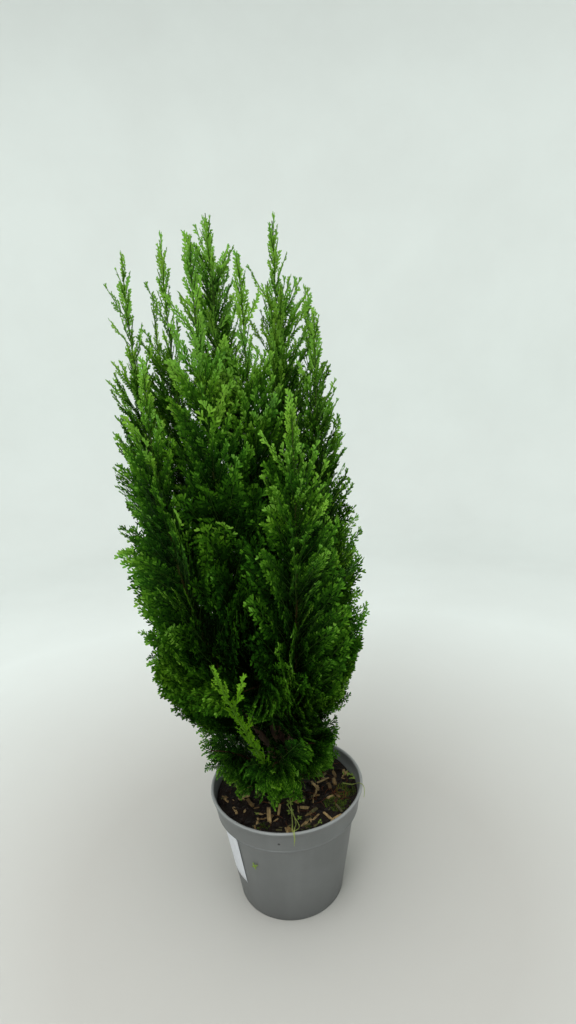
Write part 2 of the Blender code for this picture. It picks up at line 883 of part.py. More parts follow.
def make_mass(mass, sprays, parts):
    path = mass["path"]
    radii = [float(value) for value in np.linspace(STEM_RADIUS, STEM_TIP_RADIUS, len(path))]
    whole = path[:-1] + [path[-1].lerp(path[-2], 0.35)]
    item = mesh_object(mass["name"], tube(whole, radii, STEM_SIDES), parts)
    blades = new_collection(mass["name"] + "_sprays")
    for index, spray in enumerate(sprays):
        mesh_object(f"{mass['name']}_spray_{index}", spray_blade(spray), blades)
    join = item.modifiers.new("join_sprays", "BOOLEAN")
    join.operation = "UNION"
    join.solver = "MANIFOLD"
    join.operand_type = "COLLECTION"
    join.collection = blades
    bake(item)
    for blade in list(blades.objects):
        bpy.data.objects.remove(blade, do_unlink=True)
    bpy.data.collections.remove(blades)
    keep_largest_body(item)
    item.data.materials.clear()
    item.data.materials.append(foliage_material(mass["name"], mass["height"]))
    return item


def limb_shapes(boughs):
    """The axis and radius of the trunk and of every bough, for keeping sprays off them."""
    count = round((TRUNK_TOP - SOIL_TOP) / FINE_STEP)
    heights = [float(height) for height in np.linspace(SOIL_TOP, TRUNK_TOP, count)]
    axis = np.array([tuple(trunk_axis(height)) for height in heights])
    shapes = [(axis, np.array([trunk_radius(height) for height in heights]))]
    for fork, path in boughs.values():
        shapes.append(limb_shape(path, BOUGH_RADIUS, BOUGH_TIP_RADIUS))
    return shapes


def make_foliage(boughs, bark, parts):
    masses = all_masses(boughs, bark)
    stems = [samples_of(mass["path"]) for mass in masses]
    limbs = limb_shapes(boughs)
    for index, mass in enumerate(masses):
        others = np.concatenate([stem for place, stem in enumerate(stems) if place != index])
        sprays = fitting_sprays(mass, stems[index], others, limbs)
        make_mass(mass, sprays, parts)


def main():
    remove_everything()
    parts = new_collection(NAME)
    cutters = new_collection("cutters")
    make_pot(parts, cutters)
    make_compost(parts)
    brown = bark_material()
    bark = surface_of(make_trunk(parts, brown))
    boughs = grow_boughs(bark)
    for name, (fork, path) in boughs.items():
        make_bough(name, path, parts, brown)
    make_foliage(boughs, bark, parts)


main()
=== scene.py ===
"""The looks of a potted lawson cypress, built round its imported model, in metres with +Z up.

The origin is the middle of the pot's flat underside. The plant is seen from the -Y side.
"""

import math
import random

import bmesh
import bpy
import numpy as np
from mathutils import Matrix, Vector, noise
from mathutils.bvhtree import BVHTree


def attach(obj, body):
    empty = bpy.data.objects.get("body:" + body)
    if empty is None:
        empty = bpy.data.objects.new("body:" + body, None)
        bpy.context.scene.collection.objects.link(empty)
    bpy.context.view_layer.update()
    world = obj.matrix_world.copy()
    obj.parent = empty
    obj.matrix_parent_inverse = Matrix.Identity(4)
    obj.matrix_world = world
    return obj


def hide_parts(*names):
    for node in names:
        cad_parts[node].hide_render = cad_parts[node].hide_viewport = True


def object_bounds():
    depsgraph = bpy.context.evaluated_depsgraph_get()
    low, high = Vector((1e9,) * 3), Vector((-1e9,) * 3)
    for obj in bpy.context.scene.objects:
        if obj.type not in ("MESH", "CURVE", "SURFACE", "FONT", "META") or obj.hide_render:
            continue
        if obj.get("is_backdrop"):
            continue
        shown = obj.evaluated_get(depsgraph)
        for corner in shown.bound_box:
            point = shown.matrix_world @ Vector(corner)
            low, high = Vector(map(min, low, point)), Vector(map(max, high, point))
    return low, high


bl_info = {
    "name": "Potted lawson cypress",
    "version": (1, 0, 0),
    "blender": (4, 5, 0),
    "location": "View3D > Sidebar > Cypress",
    "description": "Builds the pot, compost, bark and foliage of a potted lawson cypress",
    "category": "Add Mesh",
}

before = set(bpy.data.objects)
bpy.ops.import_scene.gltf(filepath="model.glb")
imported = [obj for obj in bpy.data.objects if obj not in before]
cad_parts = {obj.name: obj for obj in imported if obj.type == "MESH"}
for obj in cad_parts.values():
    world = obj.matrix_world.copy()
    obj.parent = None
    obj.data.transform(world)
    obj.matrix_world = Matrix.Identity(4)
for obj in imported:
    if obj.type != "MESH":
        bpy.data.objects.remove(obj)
CAD_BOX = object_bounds()
BOX_SLACK = 0.002
BOX_LOW = np.array(CAD_BOX[0]) - BOX_SLACK
BOX_HIGH = np.array(CAD_BOX[1]) + BOX_SLACK
BARE = ("pot", "compost", "trunk")
MASSES = [node for node in sorted(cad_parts) if node not in BARE and "bough" not in node]

GAP = 0.0003
WELD = 0.00001

# The pot, as in the part's source
POT_HEIGHT = 0.1150
RIM_RADIUS = 0.0750
LIP_HEIGHT = 0.0030
COLLAR_TOP_RADIUS = 0.0736
COLLAR_FOOT_RADIUS = 0.0702
COLLAR_FOOT = 0.0915
BODY_TOP_RADIUS = 0.0660
BODY_TOP = 0.0895
FOOT_RADIUS = 0.0520
FOOT_ROUND = 0.0010
WALL = 0.0016
FLOOR = 0.0022
HOLES = 6
HOLE_RADIUS = 0.0045
HOLE_CIRCLE = 0.0400
POT_STEPS = 144
LIP_STEPS = 9
LIP_TURN = (0.94, -0.165)
HOLE_SIDES = 24
ROUNDED_FROM = math.radians(35.0)

# The compost, trunk and boughs, as in the part's source
SOIL_TOP = 0.1030
SOIL_HUMP = 0.0028
SOIL_LEVEL_RADIUS = 0.010
SOIL_RISE_OVER = 0.020
TRUNK_FOOT = (0.0020, 0.0)
TRUNK_TIP = (-0.0330, 0.0080)
TRUNK_TOP = 0.4300
TRUNK_RADIUS = 0.0066
TRUNK_TIP_RADIUS = 0.0018
TRUNK_TAPER = 0.55
TRUNK_SWAY = 0.0022
TRUNK_BENDS = 1.6
FLARE = 0.0034
FLARE_HEIGHT = 0.0100
BOUGH_RADIUS = 0.0032
BOUGH_TIP_RADIUS = 0.0017
BOUGH_SIDES = 6
BOUGH_ROWS = 6
FORK_LOW = 0.1200
FORK_HIGH = 0.1650
FORK_STEP = 0.0020
FORK_TRIES = 48
TURN_UP = 2.4
LEADER_FOOT = 0.2100
WIDE_SPREAD = 0.0950
INNER_SPREAD = 0.0300
INNER_FOOT = 0.2150
SEAT_STEP = 0.00005
TRUNK_SIDES = 28
TRUNK_ROWS = 220
TRUNK_RIDGES = 0.10
LIMB_SIDES = 16
LIMB_ROWS = 60
LIMB_RIDGES = 0.09
RIDGES_ROUND = 2.2
RIDGES_ALONG = 9.0

# The leaders and the rings of masses, as in the part's source
LEADER_TIPS = {
    "far_left": (-0.109, -0.010, 0.606),
    "left": (-0.083, 0.024, 0.624),
    "left_back": (-0.102, 0.064, 0.588),
    "front_left": (-0.088, -0.064, 0.520),
    "tall_front": (-0.047, -0.056, 0.607),
    "back": (-0.046, 0.074, 0.616),
    "front_middle": (-0.012, -0.040, 0.597),
    "right": (0.014, -0.004, 0.628),
    "back_right": (0.006, 0.072, 0.594),
    "far_right_back": (0.042, 0.038, 0.579),
    "far_right": (0.044, -0.018, 0.553),
    "front_right": (0.022, -0.074, 0.490),
}
TOP_TIP = (-0.041, 0.010, 0.640)
RINGS = {
    "low_mass": {
        "bearings": (12.0, 62.0, 115.0, 170.0, 215.0, 262.0, 312.0),
        "foot": (0.1150, 0.0028),
        "middle": (-0.022, -0.004),
        "reach": (0.057, 0.066),
        "tip": (0.1790, 0.0040, 0.0020),
        "bow": 0.0180,
        "from": 0.24,
        "sprays": 14,
        "apart": 0.0090,
        "length": (0.060, 0.046),
        "open": (50.0, 32.0),
        "lift": -0.04,
        "seed": 200,
    },
    "middle_mass": {
        "gaps": 6,
        "foot": (0.1900, 0.0060),
        "middle": (-0.032, 0.002),
        "reach": (0.077, 0.074),
        "tip": (0.2600, 0.0200, 0.0150),
        "bow": 0.0080,
        "from": 0.50,
        "sprays": 12,
        "apart": 0.0096,
        "length": (0.068, 0.052),
        "open": (48.0, 26.0),
        "lift": 0.12,
        "seed": 300,
    },
}
TURN_STEP = math.radians(2.5)
TURN_TRIES = 60
STEM_CLEAR = 0.0030
SHOOT_FOOT = 0.1160
SHOOT_SIDE = (-0.30, -0.95, 0.0)
SHOOT_MIDDLE = (-0.016, -0.058, 0.160)
SHOOT_TIP = (-0.050, -0.104, 0.292)
SIDE_FROM = (0.31, 0.95, 0.05)
COARSE_STEP = 0.0060
FINE_STEP = 0.0030
STEM_RADIUS = 0.0016
STEM_TIP_RADIUS = 0.0008
STEM_SIDES = 3
SPRAY_THICK = 0.0014
SLENDER_FROM = 0.58
TIP_OVERLAP = 0.85
GOLDEN = math.radians(137.5)
CLEAR = 0.0009
LIMB_CLEAR = 0.0008
RIM_CLEAR = 0.1190
LENGTH_TRIES = (1.0, 0.80, 0.64, 0.52)
ROOT_SHARE = 0.16
SAMPLE_ROWS = 11
SAMPLES_ACROSS = 5
SPRAY_MIDDLES = (0.45, 0.80)
SIDE_TURNS = (0.0, 0.9, -0.9, 1.9, -1.9, 3.1)
FAN = ((0.00, 0.000), (0.36, 0.225), (0.42, 0.130), (0.70, 0.160), (1.00, 0.000))
PLUME = ((0.00, 0.000), (0.28, 0.120), (0.36, 0.080), (0.62, 0.085), (1.00, 0.000))

# The finer sprays that only the looks have
EXTRA_SPRAYS = 3.6
LEADER_MORE = 1.9
LEADER_LAST = 0.80
FRONT_EVERY = 5
SIDE_ANGLES = (0.7, 1.9)
EXTRA_APART = 0.0034
EXTRA_FROM = 0.02
MIDDLE_TRIES = (1.30, 1.12, 0.95, 0.80, 0.62, 0.46, 0.34)
EXTRA_TRIES = (1.12, 0.95, 0.80, 0.62, 0.46, 0.34)
EXTRA_SLACK = 0.018
CROWN = (
    (0.115, -0.0100, 0.0340),
    (0.134, -0.0130, 0.0440),
    (0.160, -0.0135, 0.0620),
    (0.180, -0.0175, 0.0725),
    (0.202, -0.0145, 0.0845),
    (0.225, -0.0245, 0.0885),
    (0.260, -0.0225, 0.0975),
    (0.290, -0.0215, 0.1065),
    (0.390, -0.0350, 0.1110),
    (0.440, -0.0380, 0.1050),
    (0.490, -0.0370, 0.0980),
    (0.540, -0.0300, 0.0920),
    (0.650, -0.0300, 0.0920),
)
CROWN_LEVELS, CROWN_MIDDLES, CROWN_REACH = zip(*CROWN)
CROWN_SLACK = 1.04
EXTRA_SEED = 5000
TURN_SEED = 17
DRESS_SEED = 900
STEM_SEED = 41
BOUGH_SEED = 43
TRUNK_SEED = 47
LOW_DROOP = -0.14
DROOP = 0.05
BEND = 0.04
SHRINK = 0.92
SHRINK_TRIES = 8
LEAST_PINNA = 0.0026
END_BLADE = 0.0040
FACE_LEAN = 0.20
FACE_RISE = 0.25
SHOOT_SHARE = 0.28
SHOOT_TIPS = ((0.66, 0.027), (0.79, 0.034))
SHOOT_TIP_UP = (0.32, -0.15, 0.93)
STEM_CLOTHING = (0.0042, 0.017, 0.34)
BOUGH_CLOTHING = (0.0045, 0.036, 0.85)
TRUNK_CLOTHING = (0.0035, 0.034, 1.10)
TRUNK_COVERED = (0.128, 0.235)
TRUNK_LEADER = "front_middle"
FRONT_LEADERS = ("front_left", "front_middle", "front_right", "tall_front")
LOOKS_STEM = (0.00135, 0.00040)
RIB_RADII = (0.00040, 0.00022)
RIB_ROWS = 5
RIB_SHARE = 0.93
STEM_ROWS = 40
FACE_TURNS = (0.0, 0.5, -0.5, 1.0, -1.0)
FAN_LENGTHS = (0.024, 0.032, 0.042, 0.054, 0.068, 0.086)
PLUME_LENGTHS = (0.022, 0.030, 0.042, 0.060)
VARIANTS = 3
# Painted light and shade of the sprays: darker inside and low in the crown, lighter outside, at
# the top and where young
TONE_GRAIN = 0.07
TONE_BASE = -0.07
TONE_OUT = 0.36
TONE_HIGH = 0.31
TONE_YOUNG = 0.52
BOLD_SHADES = (0.00, 0.17)
EXTRA_SHADES = (-0.27, -0.02)
TOP_SHADE = 0.20
TOP_SHADE_FROM = 0.36
TOP_FROM = 0.40
TOP_OVER = 0.14
HIGH_FROM = 0.12
HIGH_OVER = 0.50
PIECE_BLADES = 47500
BLADE = np.array([[0, 1, 2, 3], [3, 2, 4, 5]])

# The two kinds of spray: flat fans low on the limbs, slender plumes near the tips
STYLES = {
    "fan": {
        "half": 0.225,
        "widest": 0.34,
        "pinna_step": 0.0108,
        "angles": (52.0, 34.0),
        "curl": 0.42,
        "step": 0.0040,
        "twig": 0.0046,
        "twig_angle": math.radians(35.0),
        "wide": 0.0017,
        "rib": 0.0012,
        "round": 0.06,
    },
    "plume": {
        "half": 0.110,
        "widest": 0.26,
        "pinna_step": 0.0064,
        "angles": (27.0, 18.0),
        "curl": 0.12,
        "step": 0.0027,
        "twig": 0.0027,
        "twig_angle": math.radians(30.0),
        "wide": 0.0013,
        "rib": 0.0012,
        "round": 0.9,
    },
}

# The sticker and the loose things on the compost
LABEL_GRID = (24, 14)
LABEL_LIFT = 0.00023238
LABEL_CURL = 0.0006
LABEL_CURL_FROM = 0.44
LABEL_THICK = 0.00018
SOIL_RINGS = 64
SOIL_STEPS = 168
SOIL_EDGE = 0.985
SCATTER_REACH = 0.0665
SCATTER_HOLE = 0.012
CRUMB_SEED = 41
CRUMB_RADII = (0.0006, 0.0022)
CHIP_SEED = 53
CHIP_REACH = 0.0640
CHIP_LENGTHS = (0.003, 0.011)
CHIP_COLOURS = {
    "tan_chips": (0.400, 0.270, 0.110),
    "orange_chips": (0.200, 0.120, 0.036),
    "grey_chips": (0.100, 0.090, 0.028),
}
# Chips that stand out, as (x, y, length, width, bearing, tilt, kind)
KEY_CHIPS = (
    (-0.0165, -0.0410, 0.0150, 0.0042, 97.0, 38.0, "tan_chips"),
    (-0.0425, -0.0109, 0.0110, 0.0036, 18.0, 6.0, "tan_chips"),
    (0.0332, 0.0080, 0.0210, 0.0022, 24.0, 5.0, "tan_chips"),
    (0.0418, 0.0012, 0.0070, 0.0036, 110.0, 16.0, "orange_chips"),
    (0.0285, -0.0054, 0.0140, 0.0022, 70.0, 10.0, "tan_chips"),
    (0.0234, -0.0348, 0.0125, 0.0034, 38.0, 5.0, "grey_chips"),
    (0.0380, -0.0410, 0.0120, 0.0026, 128.0, 8.0, "tan_chips"),
    (0.0453, -0.0428, 0.0130, 0.0030, 28.0, 7.0, "tan_chips"),
    (0.0085, -0.0171, 0.0080, 0.0050, 150.0, 10.0, "orange_chips"),
    (-0.0078, -0.0300, 0.0110, 0.0026, 80.0, 20.0, "tan_chips"),
    (-0.0498, -0.0287, 0.0085, 0.0028, 120.0, 12.0, "tan_chips"),
    (-0.0600, -0.0121, 0.0060, 0.0026, 140.0, 15.0, "tan_chips"),
    (0.0191, -0.0502, 0.0100, 0.0028, 12.0, 5.0, "grey_chips"),
    (0.0260, -0.0440, 0.0120, 0.0022, 52.0, 6.0, "tan_chips"),
)
ROOTLET_SEED = 61
ROOTLET_RADII = (0.00022, 0.00050)
ROOTLET_LENGTHS = (0.006, 0.020)
ROOTLET_RING = (0.030, 0.062)
ROOTLET_ROWS = 8
ROOTLET_REACH = 0.067
MOSS_SEED = 67
MOSS_WIDE = 0.00028
MOSS_REACH = 0.0680
# Cushions of moss, as (x, y, reach, blades)
MOSS_PATCHES = (
    (0.048, -0.022, 0.013, 900),
    (0.058, -0.004, 0.010, 520),
    (-0.022, -0.050, 0.006, 160),
    (0.020, -0.058, 0.007, 180),
    (-0.030, 0.045, 0.010, 420),
    (0.030, 0.050, 0.008, 260),
)
RUNNER_RADII = (0.00042, 0.00022)
RUNNER_ROWS = 28
# Pale runners of a creeping weed: each hangs from the compost over the rim, as points
RUNNERS = (
    (
        (0.0027, -0.0182, 0.1075),
        (0.0045, -0.0440, 0.1085),
        (0.0052, -0.0660, 0.1150),
        (0.0058, -0.0745, 0.1162),
        (0.0064, -0.0765, 0.1120),
        (0.0060, -0.0757, 0.1035),
    ),
    (
        (0.0040, -0.0300, 0.1060),
        (0.0080, -0.0520, 0.1075),
        (0.0072, -0.0680, 0.1155),
        (0.0068, -0.0748, 0.1160),
        (0.0070, -0.0768, 0.1110),
        (0.0061, -0.0763, 0.1060),
    ),
    (
        (0.0000, -0.0250, 0.1060),
        (0.0060, -0.0420, 0.1070),
        (0.0110, -0.0560, 0.1065),
        (0.0060, -0.0620, 0.1070),
        (0.0040, -0.0600, 0.1060),
        (0.0045, -0.0530, 0.1058),
    ),
    (
        (0.0560, 0.0020, 0.1060),
        (0.0640, -0.0060, 0.1100),
        (0.0700, -0.0120, 0.1158),
        (0.0738, -0.0150, 0.1158),
        (0.0752, -0.0160, 0.1110),
        (0.0745, -0.0165, 0.1030),
    ),
)
SEEDLING_SEED = 71
# Seedlings on the compost, as (x, y, leaf), and one stuck to the pot's side
SEEDLINGS = (
    (0.0655, 0.0190, 0.0045),
    (0.0610, 0.0230, 0.0040),
    (0.0660, 0.0120, 0.0035),
    (0.0030, -0.0330, 0.0040),
    (-0.0296, -0.0327, 0.0030),
    (0.0110, -0.0400, 0.0030),
    (0.0300, -0.0480, 0.0030),
    (0.0020, -0.0200, 0.0045),
)
STUCK_BEARING = math.radians(240.0)
STUCK_HEIGHT = 0.0660
STUCK_LEAF = 0.0036

# Greens from the inside of the crown to its tips: lit and shaded copies of one leaf green, with
# painted shade inside and low in the crown, painted light outside and at the top, and paler young
# tips
GREENS = {
    "deep": (0.0024, 0.0120, 0.0008),
    "dark": (0.0060, 0.0270, 0.0015),
    "middle": (0.0140, 0.0560, 0.0025),
    "fresh": (0.0310, 0.1050, 0.0045),
    "bright": (0.0720, 0.1950, 0.0110),
    "tip": (0.1500, 0.3300, 0.0350),
}
GREEN_STEPS = (0.20, 0.36, 0.52, 0.68, 0.84)
LIME = (0.095, 0.245, 0.007)
LIME_TIP = (0.150, 0.330, 0.018)
LIME_TIP_FROM = 0.262

# Other colours, and where the pot's plastic has painted shade, a painted highlight or marks
DUST = (0.24, 0.22, 0.19)
FLECK = (0.020, 0.018, 0.016)
FLECK_PLACE = (-0.0075, -0.0712, 0.1022)
FLECK_RADIUS = 0.0016
FOOT_SHADE = (0.004, 0.055)
STEP_SHADE = (0.0886, 0.0921)
LIP_HIGHLIGHT = (POT_HEIGHT - 0.0022, POT_HEIGHT - 0.0004)
PALE_FIBRE = (0.10, 0.06, 0.03)
CRUMB_FIBRE = (0.14, 0.08, 0.04)
OLD_BARK = (0.150, 0.110, 0.080)
ALGAE = (0.050, 0.062, 0.022)
TWIG_COLOURS = (
    (0.00, (0.050, 0.024, 0.013)),
    (0.40, (0.055, 0.042, 0.012)),
    (0.75, (0.048, 0.070, 0.012)),
    (1.00, (0.050, 0.120, 0.014)),
)
TWIG_STREAK = (0.024, 0.016, 0.006)
LEAF_TINTS = ((0.70, 0.86, 1.15), (1.25, 1.08, 0.90))
ROOTLET = (0.110, 0.040, 0.018)
MOSS = (0.070, 0.115, 0.015)
RUNNER = (0.300, 0.360, 0.090)
SEEDLING = (0.200, 0.300, 0.050)
GREEN_RIB = (0.026, 0.066, 0.006)
YOUNG_STEM = (0.080, 0.190, 0.010)

# The stage: each light as (place, target, width)
FLOOR_BEND = 0.45
FLOOR_ROWS = 8
FLOOR_STEPS = 96
ROOM = (1.0, 1.0, 0.97)
LIGHTS = {
    "top_light": ((-0.15, -0.35, 1.9), (0.0, 0.0, 0.35), 1.3),
    "front_light": ((-0.5, -1.25, 1.25), (0.0, 0.0, 0.30), 0.8),
}

# The camera, in the pot's own frame
CAMERA_PLACE = (0.01968, -0.52700, 0.50061)
CAMERA_RIGHT = (0.9991, 0.0, -0.0419)
CAMERA_UP = (0.0409, 0.2122, 0.9764)
CAMERA_ROLL = math.radians(-0.48)
PIXELS_FOCAL = 600.0
PIXELS_TALL = 1024.0
SENSOR = 36.0


# Materials


class Value:
    """A number that changes over a surface, with Python's operators for its sums."""

    def __init__(self, paint, socket):
        self.paint = paint
        self.socket = socket

    def __add__(self, other):
        return self.paint.maths("ADD", self, other)

    def __radd__(self, other):
        return self.paint.maths("ADD", other, self)

    def __rsub__(self, other):
        return self.paint.maths("SUBTRACT", other, self)

    def __mul__(self, other):
        return self.paint.maths("MULTIPLY", self, other)

    def __rmul__(self, other):
        return self.paint.maths("MULTIPLY", other, self)

    def __pow__(self, other):
        return self.paint.maths("POWER", self, other)


SHADER_INPUTS = {
    "colour": "Base Color",
    "roughness": "Roughness",
    "specular": "Specular IOR Level",
    "normal": "Normal",
}


class Paint:
    """A material whose shader is fed by patterns on Object coordinates."""

    def __init__(self, name, colour):
        self.material = bpy.data.materials.new(name)
        self.material.use_nodes = True
        self.material.diffuse_color = (*colour, 1.0)
        self.tree = self.material.node_tree
        self.shader = self.tree.nodes["Principled BSDF"]
        self.feed(self.shader.inputs["Base Color"], (*colour, 1.0))
        self.place = self.node("ShaderNodeTexCoord").outputs["Object"]

    def node(self, kind, settings=None, inputs=None):
        node = self.tree.nodes.new(kind)
        for key, value in (settings or {}).items():
            if key == "stops":
                self.set_stops(node.color_ramp, value)
            else:
                setattr(node, key, value)
        for key, value in (inputs or {}).items():
            self.feed(node.inputs[key], value)
        return node

    def set_stops(self, ramp, stops):
        while len(ramp.elements) < len(stops):
            ramp.elements.new(0.5)
        for element, (place, colour) in zip(ramp.elements, stops):
            element.position = place
            element.color = (*colour, 1.0)

    def feed(self, socket, value):
        if isinstance(value, Value):
            self.tree.links.new(value.socket, socket)
        elif isinstance(value, bpy.types.NodeSocket):
            self.tree.links.new(value, socket)
        else:
            socket.default_value = value

    def maths(self, operation, first, second):
        node = self.node("ShaderNodeMath", {"operation": operation}, {0: first, 1: second})
        return Value(self, node.outputs[0])

    def span(self, value, low, high):
        """The value as a share between two limits, held between nought and one."""
        inputs = {0: value, 1: low, 2: high, 3: 0.0, 4: 1.0}
        return Value(self, self.node("ShaderNodeMapRange", {"clamp": True}, inputs).outputs[0])

    def stretched(self, scale, turn=(0.0, 0.0, 0.0)):
        inputs = {"Vector": self.place, "Scale": scale, "Rotation": turn}
        return self.node("ShaderNodeMapping", None, inputs).outputs[0]

    def noise(self, scale, detail=3.0, rough=0.55, at=None):
        inputs = {"Scale": scale, "Detail": detail, "Roughness": rough}
        inputs["Vector"] = at or self.place
        return Value(self, self.node("ShaderNodeTexNoise", None, inputs).outputs["Fac"])

    def grains(self, scale, at=None):
        inputs = {"Scale": scale, "Vector": at or self.place}
        return Value(self, self.node("ShaderNodeTexVoronoi", None, inputs).outputs["Distance"])

    def axis(self, name):
        node = self.node("ShaderNodeSeparateXYZ", None, {0: self.place})
        return Value(self, node.outputs[name])

    def mixed(self, share, first, second):
        """One colour turning into another as the share goes from nought to one."""
        inputs = {0: share, 6: opaque(first), 7: opaque(second)}
        return self.node("ShaderNodeMix", {"data_type": "RGBA"}, inputs).outputs[2]

    def ramp(self, value, stops):
        return self.node("ShaderNodeValToRGB", {"stops": stops}, {0: value}).outputs[0]

    def near(self, point, radius):
        """One close to a point of the surface, and nought further off than the radius."""
        inputs = {0: self.place, 1: point}
        node = self.node("ShaderNodeVectorMath", {"operation": "DISTANCE"}, inputs)
        return 1.0 - self.span(Value(self, node.outputs["Value"]), radius * 0.5, radius)

    def relief(self, height, distance, strength):
        inputs = {"Height": height, "Distance": distance, "Strength": strength}
        return self.node("ShaderNodeBump", None, inputs).outputs[0]

    def finish(self, **inputs):
        """Feed the shader's inputs, named in small letters, and hand back the material."""
        for name, value in inputs.items():
            self.feed(self.shader.inputs[SHADER_INPUTS[name]], value)
        return self.material


def opaque(colour):
    return (*colour, 1.0) if isinstance(colour, tuple) else colour


def times(colour, factor):
    return tuple(channel * factor for channel in colour)


def plastic(colour):
    """Satin moulded plastic with dust, scuffs and one dark fleck, painted shade towards its foot
    and under its collar's step, and a painted highlight on its lip.
    """
    paint = Paint("grey_plastic", colour)
    cloudy = paint.noise(22.0, 4.0)
    streaks = paint.noise(60.0, 2.0, at=paint.stretched((1.0, 1.0, 0.12)))
    height = paint.axis("Z")
    base = paint.mixed(paint.span(cloudy, 0.35, 0.7), times(colour, 0.90), times(colour, 1.10))
    base = paint.mixed(paint.span(streaks, 0.50, 0.75) * 0.35, base, times(colour, 1.25))
    # Painted shade: the body's colour darkens towards its foot.
    foot = 1.0 - paint.span(height, *FOOT_SHADE)
    base = paint.mixed(foot * 0.45, base, times(colour, 0.62))
    # Painted shade: a dark band under the collar's step, where the plastic is also rougher.
    low, high = STEP_SHADE
    step = paint.span(height, low, low + 0.0008) * (1.0 - paint.span(height, high - 0.0004, high))
    base = paint.mixed(step * 0.75, base, times(colour, 0.35))
    # Painted highlight: the lip's colour is paler along its edge.
    lip = paint.span(height, *LIP_HIGHLIGHT)
    base = paint.mixed(lip * 0.75, base, times(colour, 2.1))
    dust = paint.span(paint.noise(240.0, 5.0, 0.7), 0.60, 0.75)
    base = paint.mixed(dust * 0.30, base, DUST)
    base = paint.mixed(paint.near(FLECK_PLACE, FLECK_RADIUS), base, FLECK)
    fine = paint.noise(900.0, 2.0) + 0.6 * paint.noise(160.0, 3.0)
    return paint.finish(
        colour=base,
        roughness=0.36 + 0.22 * cloudy + 0.15 * dust + 0.30 * step,
        specular=0.42,
        normal=paint.relief(fine, 0.00012, 0.5),
    )


def paper(colour):
    """A blank white label, a little wrinkled and soiled."""
    paint = Paint("white_label", colour)
    soil = paint.span(paint.noise(90.0, 4.0), 0.45, 0.75)
    return paint.finish(
        colour=paint.mixed(soil * 0.35, colour, times(colour, 0.72)),
        roughness=0.45 + 0.2 * soil,
        normal=paint.relief(paint.noise(110.0, 2.0), 0.0004, 0.6),
    )


def peat(name, colour, pale):
    """Moist dark compost with fibres, pale grains and wet, shinier hollows."""
    paint = Paint(name, colour)
    lumps = paint.noise(140.0, 6.0, 0.65)
    stops = ((0.30, times(colour, 0.35)), (0.52, colour), (0.70, times(colour, 2.0)))
    fibres = paint.noise(260.0, 3.0, 0.7, at=paint.stretched((1.0, 0.15, 1.0), (0.3, 0.2, 0.8)))
    share = paint.span(fibres, 0.63, 0.72) * 0.7
    return paint.finish(
        colour=paint.mixed(share, paint.ramp(lumps, stops), pale),
        roughness=0.70 + 0.28 * lumps,
        specular=0.25,
        normal=paint.relief(lumps + 0.35 * paint.grains(420.0), 0.0012, 0.9),
    )


def chip_wood(name, colour):
    """A chip of wood with long grain and weathered patches."""
    paint = Paint(name, colour)
    grain = paint.noise(500.0, 3.0, 0.7, at=paint.stretched((1.0, 0.25, 0.6)))
    patches = paint.noise(130.0, 3.0)
    base = paint.mixed(paint.span(grain, 0.40, 0.62), times(colour, 0.55), times(colour, 1.15))
    return paint.finish(
        colour=paint.mixed(paint.span(patches, 0.50, 0.68) * 0.7, base, times(colour, 0.30)),
        roughness=0.65 + 0.25 * grain,
        normal=paint.relief(grain, 0.0003, 0.8),
    )


def plain_plant(name, colour, spread, roughness):
    """A thin plant part whose colour drifts from place to place."""
    paint = Paint(name, colour)
    drift = paint.span(paint.noise(70.0, 3.0), 0.30, 0.70)
    return paint.finish(
        colour=paint.mixed(drift, times(colour, 1.0 - spread), times(colour, 1.0 + spread)),
        roughness=roughness - 0.08 + 0.16 * drift,
        specular=0.12,
        normal=paint.relief(paint.noise(1400.0, 2.0), 0.0001, 0.4),
    )


def fibrous_bark(colour):
    """Thin red-brown bark that splits lengthwise, greyer and greener where it is old."""
    paint = Paint("red_brown_bark", colour)
    fibres = paint.noise(420.0, 5.0, 0.65, at=paint.stretched((1.0, 1.0, 0.10)))
    flakes = paint.noise(120.0, 4.0, 0.6, at=paint.stretched((1.0, 1.0, 0.30)))
    stops = ((0.33, times(colour, 0.22)), (0.50, colour), (0.66, times(colour, 1.9)))
    base = paint.mixed(paint.span(flakes, 0.52, 0.66) * 0.55, paint.ramp(fibres, stops), OLD_BARK)
    algae = paint.span(paint.noise(35.0, 4.0), 0.56, 0.70)
    return paint.finish(
        colour=paint.mixed(algae * 0.35, base, ALGAE),
        roughness=0.70 + 0.25 * fibres,
        normal=paint.relief(fibres + 0.5 * flakes, 0.0008, 0.9),
    )


def twig_bark():
    """Twigs that are red-brown low in the crown and turn olive green towards their tips."""
    paint = Paint("twig_bark", TWIG_COLOURS[1][1])
    height = paint.span(paint.axis("Z") + 0.05 * paint.noise(40.0), 0.20, 0.56)
    streaks = paint.noise(700.0, 3.0, 0.6, at=paint.stretched((1.0, 1.0, 0.12)))
    dark = paint.span(streaks, 0.45, 0.65) * 0.5
    return paint.finish(
        colour=paint.mixed(dark, paint.ramp(height, TWIG_COLOURS), TWIG_STREAK),
        roughness=0.60 + 0.25 * streaks,
        specular=0.10,
        normal=paint.relief(streaks, 0.0003, 0.7),
    )


def leaf_green(name, colour):
    """Scale leaves in one green, a little paler and yellower in drifts."""
    paint = Paint(name, colour)
    drift = paint.span(paint.noise(28.0, 3.0), 0.35, 0.65)
    spots = paint.span(paint.noise(520.0, 2.0), 0.35, 0.65)
    cool, warm = [tuple(np.multiply(colour, tint).tolist()) for tint in LEAF_TINTS]
    base = paint.mixed(drift, cool, warm)
    return paint.finish(
        colour=paint.mixed(spots * 0.5, base, times(colour, 1.35)),
        roughness=0.58 + 0.16 * spots,
        specular=0.035,
        normal=paint.relief(paint.noise(1500.0, 1.0), 0.0002, 0.5),
    )


